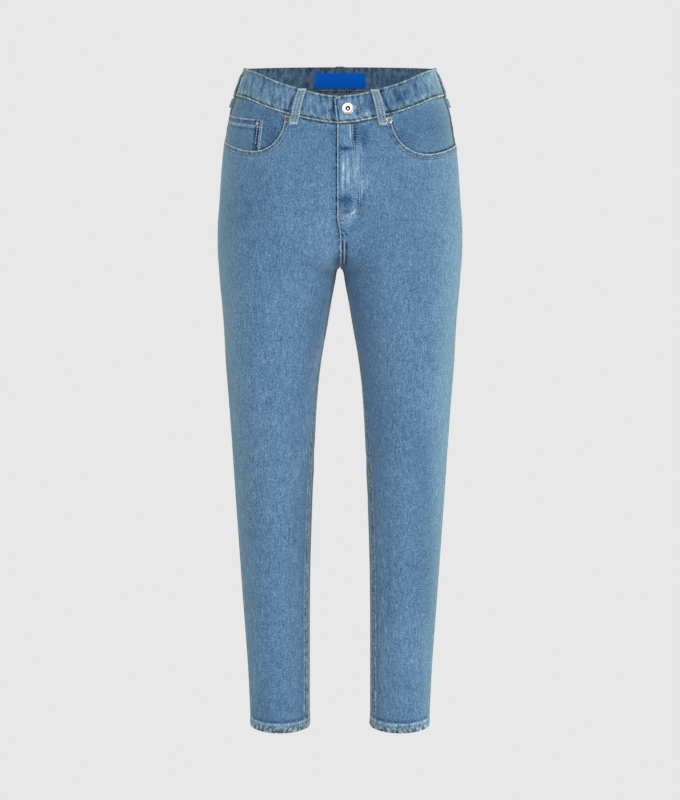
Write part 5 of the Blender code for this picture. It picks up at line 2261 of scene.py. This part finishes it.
LOOP_STEPS = (
    LoopStep(0.0, 0.0, 1),
    LoopStep(0.10, 0.0, 1),
    LoopStep(0.17, 0.55, 1),
    LoopStep(0.25, 1.0, 1),
    LoopStep(0.42, 1.0, 1),
    LoopStep(0.58, 1.0, 1),
    LoopStep(0.68, 0.6, 1),
    LoopStep(0.76, 0.15, 1),
    LoopStep(0.79, 0.12, 2),
    LoopStep(0.88, 0.08, 2),
    LoopStep(1.0, 0.05, 2),
)
LOOP_RISE = column(LOOP_STEPS, "down", "rise")
LOOP_LAYERS = column(LOOP_STEPS, "down", "layers")


@dataclass
class BeltLoop(Cloth):
    """A folded strip tacked at the band's top edge and below its foot."""

    plan: LoopPlan = LOOPS[0]
    finish: Finish = Finish.LOOP

    def name(self) -> str:
        """The piece's name."""
        return self.plan.node + "_cloth"

    def node(self) -> str:
        """The CAD node that the loop stands for."""
        return self.plan.node

    def top(self) -> float:
        """Height of the loop's top."""
        length = float(SKIN.length(self.plan.half, BAND_LEVEL))
        spread = SKIN.across(self.plan.half, np.array(self.plan.top_arc / length), BAND_LEVEL)
        return float(band_top(self.plan.half, spread / OUTER(BAND_LEVEL))) + self.plan.above

    def ground(self, across: Array, up: Array) -> Ground:
        """Flat places are across the strip and down from its top."""
        down = -up / self.plan.length
        arc = self.plan.top_arc + (self.plan.foot_arc - self.plan.top_arc) * down + across
        shape = across.shape
        return Ground(np.full(shape, self.plan.side.value),
                      np.full(shape, self.plan.half.value), arc, self.top() + up)

    def under(self, up: Array) -> Array:
        """Height of the strip's inner face above the skin."""
        down = -up / self.plan.length
        band_foot = -(self.plan.above + BAND_HEIGHT + LOOP_TACK_CLEAR)
        rest = np.where(up > band_foot, BAND_PROUD, LOOP_SEAT_RISE)
        return LOOP_REST + rest + self.plan.space * LOOP_RISE(down)

    def lift(self, across: Array, up: Array) -> Array:
        """Height of its face."""
        return self.under(up) + self.wall(across, up)

    def wall(self, across: Array, up: Array) -> Array:
        """One folded strip, and two where its end is turned under."""
        return LOOP_WALL * LOOP_LAYERS(-up / self.plan.length) + 0.0 * across

    def grid(self) -> tuple[Array, Array]:
        """The strip."""
        reach = LOOP_WIDTH / 2
        return even_grid((-reach, reach, 21), (0.0, -self.plan.length, 81))

    def seams(self) -> list[Seam]:
        """Its two folded sides and its two ends."""
        half, foot = LOOP_WIDTH / 2, -self.plan.length
        seed = self.plan.top_arc * 0.13 + self.plan.side.value
        left, right = (plumb(arc, 0.0, foot, 4.0) for arc in (-half, half))
        upper = np.array([(-half, 0.0), (0.0, 0.0), (half, 0.0)])
        lower = np.array([(-half, foot), (0.0, foot), (half, foot)])
        return [
            Seam(Sewing.LOOP, left, 1, seed), Seam(Sewing.LOOP, right, -1, seed + 1),
            Seam(Sewing.PLAIN, upper, -1, seed + 2, False),
            Seam(Sewing.PLAIN, lower, 1, seed + 3, False),
        ]

    def fades(self) -> Sequence[Fade]:
        """Rubbed at both ends and along the crown, dark beside the stitches; a flat loop in painted
        shade.
        """
        foot = -self.plan.length
        if self.plan.space < LOOP_OPEN:
            # A flat side loop is darkened all over: painted shade
            return (Fade(0.0, foot / 2, 12.0, 45.0, -0.30),)
        return (Fade(0.0, 0.0, 8.0, 3.0, 0.06), Fade(0.0, foot, 8.0, 4.0, 0.04),
                Fade(0.0, foot / 2, 1.8, 20.0, 0.10), Fade(-3.1, foot / 2, 0.8, 22.0, -0.08),
                Fade(3.1, foot / 2, 0.8, 22.0, -0.08))

    def sew(self) -> Threads:
        """The rows, with a bar tack at each end, but none on the flat side loops."""
        if self.plan.space < LOOP_OPEN:
            return Threads()
        threads = super().sew()
        half = LOOP_WIDTH / 2 - 1.0
        for up in (-2.2, -self.plan.length + 2.4):
            tack_rows(self, threads, (-half, up), (half, up), 2.2)
        return threads


@dataclass
class Label(Cloth):
    """The plain woven label, a rectangle on the inside of the band at the back."""

    half: Half = Half.BACK
    piece: str = "label_tape"
    stands_for: str = "label"
    material_slot: str = "label_cloth"
    finish: Finish = Finish.LABEL
    above_skin: float = BAND_PROUD - BAND_WALL - LABEL_CLEAR
    thickness: float = LABEL_WALL

    def grid(self) -> tuple[Array, Array]:
        """Even rows and columns."""
        reach = LABEL_WIDTH / 2
        return even_grid((-reach, reach, 77), (LABEL_TOP, LABEL_FOOT, 25))


class Turn(Enum):
    """A step in shaping a metal piece: its top face is drawn in, or moved up."""

    INSET = 0
    RAISE = 1


@dataclass
class TurnedMetal:
    """A round metal piece standing on the cloth, shaped from a cylinder.

    The steps are applied to its top face in turn, each by an amount in mm. A raise
    below 0 sinks the face.
    """

    name: str
    node: str
    slot: str
    radius: float
    foot: float
    steps: tuple[tuple[Turn, float], ...]
    bevel: float
    hollow: tuple[float, float]
    points_round: int = 48

    def build(self, ground: Ground, lift: float, material: bpy.types.Material,
              dark: bpy.types.Material) -> bpy.types.Object:
        """Shape the piece and set it on the skin.

        Args:
            ground: Its middle on the skin.
            lift: Height of its foot above the skin, in mm.
            material: Its finish.
            dark: The finish between the hollow's two radii, painted shade in the hollow.

        Returns:
            The object.
        """
        bpy.ops.object.select_all(action="DESELECT")
        bpy.ops.mesh.primitive_cylinder_add(
            vertices=self.points_round, radius=self.radius * METRE, depth=self.foot * METRE,
            location=(0.0, 0.0, self.foot * METRE / 2))
        item = bpy.context.object
        item.name = self.name
        bpy.ops.object.transform_apply(location=True, rotation=True, scale=True)
        bpy.ops.object.mode_set(mode="EDIT")
        bpy.ops.mesh.select_all(action="DESELECT")
        bpy.ops.object.mode_set(mode="OBJECT")
        for face in item.data.polygons:
            face.select = face.normal.z > 0.9
        bpy.ops.object.mode_set(mode="EDIT")
        bpy.ops.mesh.select_mode(type="FACE")
        for kind, amount in self.steps:
            if kind is Turn.INSET:
                bpy.ops.mesh.inset(thickness=amount * METRE, depth=0.0)
            else:
                bpy.ops.mesh.extrude_region_move(
                    TRANSFORM_OT_translate={"value": (0.0, 0.0, amount * METRE)})
        bpy.ops.object.mode_set(mode="OBJECT")
        rounding = item.modifiers.new("edges", "BEVEL")
        rounding.width = self.bevel * METRE
        rounding.segments = 3
        rounding.limit_method = "ANGLE"
        rounding.angle_limit = math.radians(35.0)
        bpy.ops.object.modifier_apply(modifier=rounding.name)
        bpy.ops.object.shade_smooth_by_angle(angle=math.radians(40.0))
        item.data.materials.clear()
        for finish in (material, dark):
            item.data.materials.append(finish)
        # Faces of the sunk hollow take the dark finish: painted shade
        for face in item.data.polygons:
            apart = face.center.xy.length / METRE
            inside = self.hollow[0] < apart < self.hollow[1] and face.normal.z > -0.5
            face.material_index = int(inside)
        self.stand(item, ground, lift)
        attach(item, "root")
        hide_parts(self.node)
        LOG.info("%s: %d faces", item.name, len(item.data.polygons))
        return item

    @staticmethod
    def stand(item: bpy.types.Object, ground: Ground, lift: float) -> None:
        """Turn the piece to the skin's normal and put its place in its mesh.

        Args:
            item: The piece, with its foot at the origin.
            ground: Its middle on the skin.
            lift: Height of its foot above the skin.
        """
        base = Vector(SKIN.place(ground, np.array([lift]))[0] * METRE)
        above = Vector(SKIN.place(ground, np.array([lift + 1.0]))[0] * METRE)
        turn = (above - base).to_track_quat("Z", "Y").to_matrix().to_4x4()
        item.data.transform(Matrix.Translation(base) @ turn)
        item.location = (0.0, 0.0, 0.0)


@dataclass
class Fasteners:
    """The button and the rivets. Their places are distances across and heights."""

    finishes: Finishes
    button_place: tuple[float, float] = (11.0, -52.3)
    left_rivet_place: tuple[float, float] = (70.2, -68.5)
    right_rivet_place: tuple[float, float] = (75.0, -67.5)
    coin_place: tuple[float, float] = (118.8, -73.5)
    rest: float = 0.4

    @staticmethod
    def ground(side: Side, place: tuple[float, float]) -> Ground:
        """A single place on the front."""
        arc = SKIN.arc_at(Half.FRONT, place[0], place[1])
        return Ground(np.array([side.value]), np.array([0]), np.array([float(arc)]),
                      np.array([place[1]]))

    def build(self) -> None:
        """Make every fastener."""
        button = TurnedMetal(
            "waist_button", "button", "steel", radius=8.0, foot=1.9, bevel=0.25,
            hollow=(1.35, 3.52), points_round=64,
            steps=((Turn.INSET, 0.5), (Turn.RAISE, 1.1), (Turn.INSET, 2.2),
                   (Turn.RAISE, 0.35), (Turn.INSET, 1.3), (Turn.RAISE, -0.3),
                   (Turn.INSET, 0.5), (Turn.RAISE, -1.9), (Turn.INSET, 2.3),
                   (Turn.RAISE, 1.3), (Turn.INSET, 0.35)))
        button.build(self.ground(Side.LEFT, self.button_place), BAND_PROUD + self.rest,
                     self.finishes.steel, self.finishes.dark)
        for side, place, finish in (
            (Side.LEFT, self.left_rivet_place, self.finishes.steel),
            (Side.RIGHT, self.right_rivet_place, self.finishes.brass),
        ):
            rivet = TurnedMetal(
                f"pocket_rivet_{side.word}", f"rivet_{side.word}", "steel", radius=4.2,
                foot=0.7, bevel=0.16, hollow=(1.0, 2.5),
                steps=((Turn.INSET, 0.35), (Turn.RAISE, 0.7), (Turn.INSET, 1.45),
                       (Turn.RAISE, -0.7), (Turn.INSET, 1.1), (Turn.RAISE, 0.5),
                       (Turn.INSET, 0.6)))
            rivet.build(self.ground(side, place), self.rest, finish, self.finishes.dark)
        coin = TurnedMetal(
            "coin_rivet_head", "rivet_coin", "brass", radius=2.2, foot=0.45, bevel=0.1,
            hollow=(0.0, 0.0), points_round=32,
            steps=((Turn.INSET, 0.25), (Turn.RAISE, 0.4), (Turn.INSET, 0.6),
                   (Turn.RAISE, -0.25), (Turn.INSET, 0.5), (Turn.RAISE, 0.25)))
        coin_lift = FACING_LIFT + COIN_CLEAR + COIN_WALL + self.rest
        coin.build(self.ground(Side.RIGHT, self.coin_place), coin_lift, self.finishes.steel,
                   self.finishes.dark)


@dataclass
class Studio:
    """The pale sweep, the soft lights and the camera at the photograph's angle."""

    camera_place: tuple[float, float, float] = (0.0, -3.0, 0.05)
    target: tuple[float, float, float] = (0.0, 0.0, -0.4892)
    lens: float = 91.2
    sensor: float = 36.0
    paper: str = "#E8E8E8"
    # The sweep's section, as radius and height: a flat floor, a cove and a wall.
    sweep: tuple[tuple[float, float], ...] = (
        (0.0, -1.32), (4.6, -1.32), (5.3, -1.2), (5.8, -0.9), (6.0, -0.4), (6.0, 3.5))
    sweep_points: int = 96
    ambient: float = 0.5

    # Name, place, size, power in watts and colour
    lights: tuple[tuple, ...] = (
        ("key", (2.6, -2.8, -0.9), 1.6, 58.0, "#FFFFFF"),
        ("fill", (-2.2, -3.2, -1.1), 2.2, 26.0, "#FFFFFF"),
        ("rim_left", (3.0, 1.1, -0.5), 1.3, 84.0, "#FFFFDC"),
        ("rim_right", (-3.0, 1.2, -0.4), 1.3, 34.0, "#FFFFD6"),
        ("high_front", (0.0, -2.5, 1.3), 1.2, 24.0, "#FFFFFF"),
        ("back", (-0.6, 3.2, 0.4), 2.0, 40.0, "#FFFFFF"),
    )

    def build(self) -> None:
        """Make the room."""
        self.lay_paper()
        for light in self.lights:
            self.hang_light(*light)
        world = bpy.data.worlds.new("room")
        world.use_nodes = True
        feed(world.node_tree, world.node_tree.nodes["Background"],
             {"Color": linear(self.paper), "Strength": self.ambient})
        bpy.context.scene.world = world
        bpy.context.scene.view_settings.view_transform = "Standard"
        self.set_camera()

    def lay_paper(self) -> None:
        """A round sweep of pale paper, well clear of the hems, that casts no light."""
        form = bmesh.new()
        points = [form.verts.new((radius, 0.0, height)) for radius, height in self.sweep]
        edges = [form.edges.new(pair) for pair in zip(points, points[1:])]
        bmesh.ops.spin(form, geom=points + edges, cent=(0.0, 0.0, 0.0), axis=(0.0, 0.0, 1.0),
                       angle=2.0 * math.pi, steps=self.sweep_points, use_merge=True)
        bmesh.ops.remove_doubles(form, verts=form.verts, dist=0.0005)
        bmesh.ops.recalc_face_normals(form, faces=form.faces)
        mesh = bpy.data.meshes.new("floor")
        form.to_mesh(mesh)
        form.free()
        mesh.shade_smooth()
        mesh.materials.append(StudioPaper(code=self.paper).build())
        floor = bpy.data.objects.new("floor", mesh)
        bpy.context.scene.collection.objects.link(floor)
        for way in ("diffuse", "glossy", "shadow"):
            setattr(floor, f"visible_{way}", False)
        floor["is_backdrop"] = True

    def hang_light(self, name: str, place: tuple[float, float, float], size: float,
                   power: float, code: str) -> None:
        """A square soft box that faces the garment.

        Args:
            name: Its name.
            place: Its place in metres.
            size: Length of its side in metres.
            power: Its power in watts.
            code: Its colour as sRGB hex.
        """
        lamp = bpy.data.lights.new(name, "AREA")
        lamp.energy = power
        lamp.size = size
        lamp.color = linear(code)[:3]
        self.hang(name, lamp, place)

    def hang(self, name: str, data: bpy.types.ID,
             place: tuple[float, float, float]) -> bpy.types.Object:
        """Put a light or a camera at a place, turned to the garment.

        Args:
            name: The object's name.
            data: The light or camera.
            place: Its place in metres.

        Returns:
            The object.
        """
        item = bpy.data.objects.new(name, data)
        bpy.context.scene.collection.objects.link(item)
        item.location = place
        aim = Vector(self.target) - Vector(place)
        item.rotation_euler = aim.to_track_quat("-Z", "Y").to_euler()
        return item

    def set_camera(self) -> None:
        """The camera, level across and looking slightly down."""
        data = bpy.data.cameras.new("camera")
        data.sensor_fit = "VERTICAL"
        data.sensor_height = self.sensor
        data.lens = self.lens
        bpy.context.scene.camera = self.hang("camera", data, self.camera_place)


def as_lists(bounds: tuple[Vector, Vector]) -> list[list[float]]:
    """A box's two corners as plain lists."""
    return [[float(value) for value in corner] for corner in bounds]


def main(cad_box: list[list[float]]) -> None:
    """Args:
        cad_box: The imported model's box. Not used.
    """
    finishes = Finishes()
    for side in Side:
        FrontPanel(finishes, side=side).build()
        BackPanel(finishes, side=side).build()
        Yoke(finishes, side=side).build()
        HipFacing(finishes, side=side).build()
        BackPocket(finishes, side=side).build()
    Waistband(finishes).build()
    FlyFacing(finishes).build()
    CoinPocket(finishes).build()
    for plan in LOOPS:
        BeltLoop(finishes, plan=plan).build()
    Label(finishes).build()
    Fasteners(finishes).build()
    Studio().build()


if __name__ == "__main__":
    logging.basicConfig(level=logging.INFO)
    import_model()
    main(as_lists(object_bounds()))
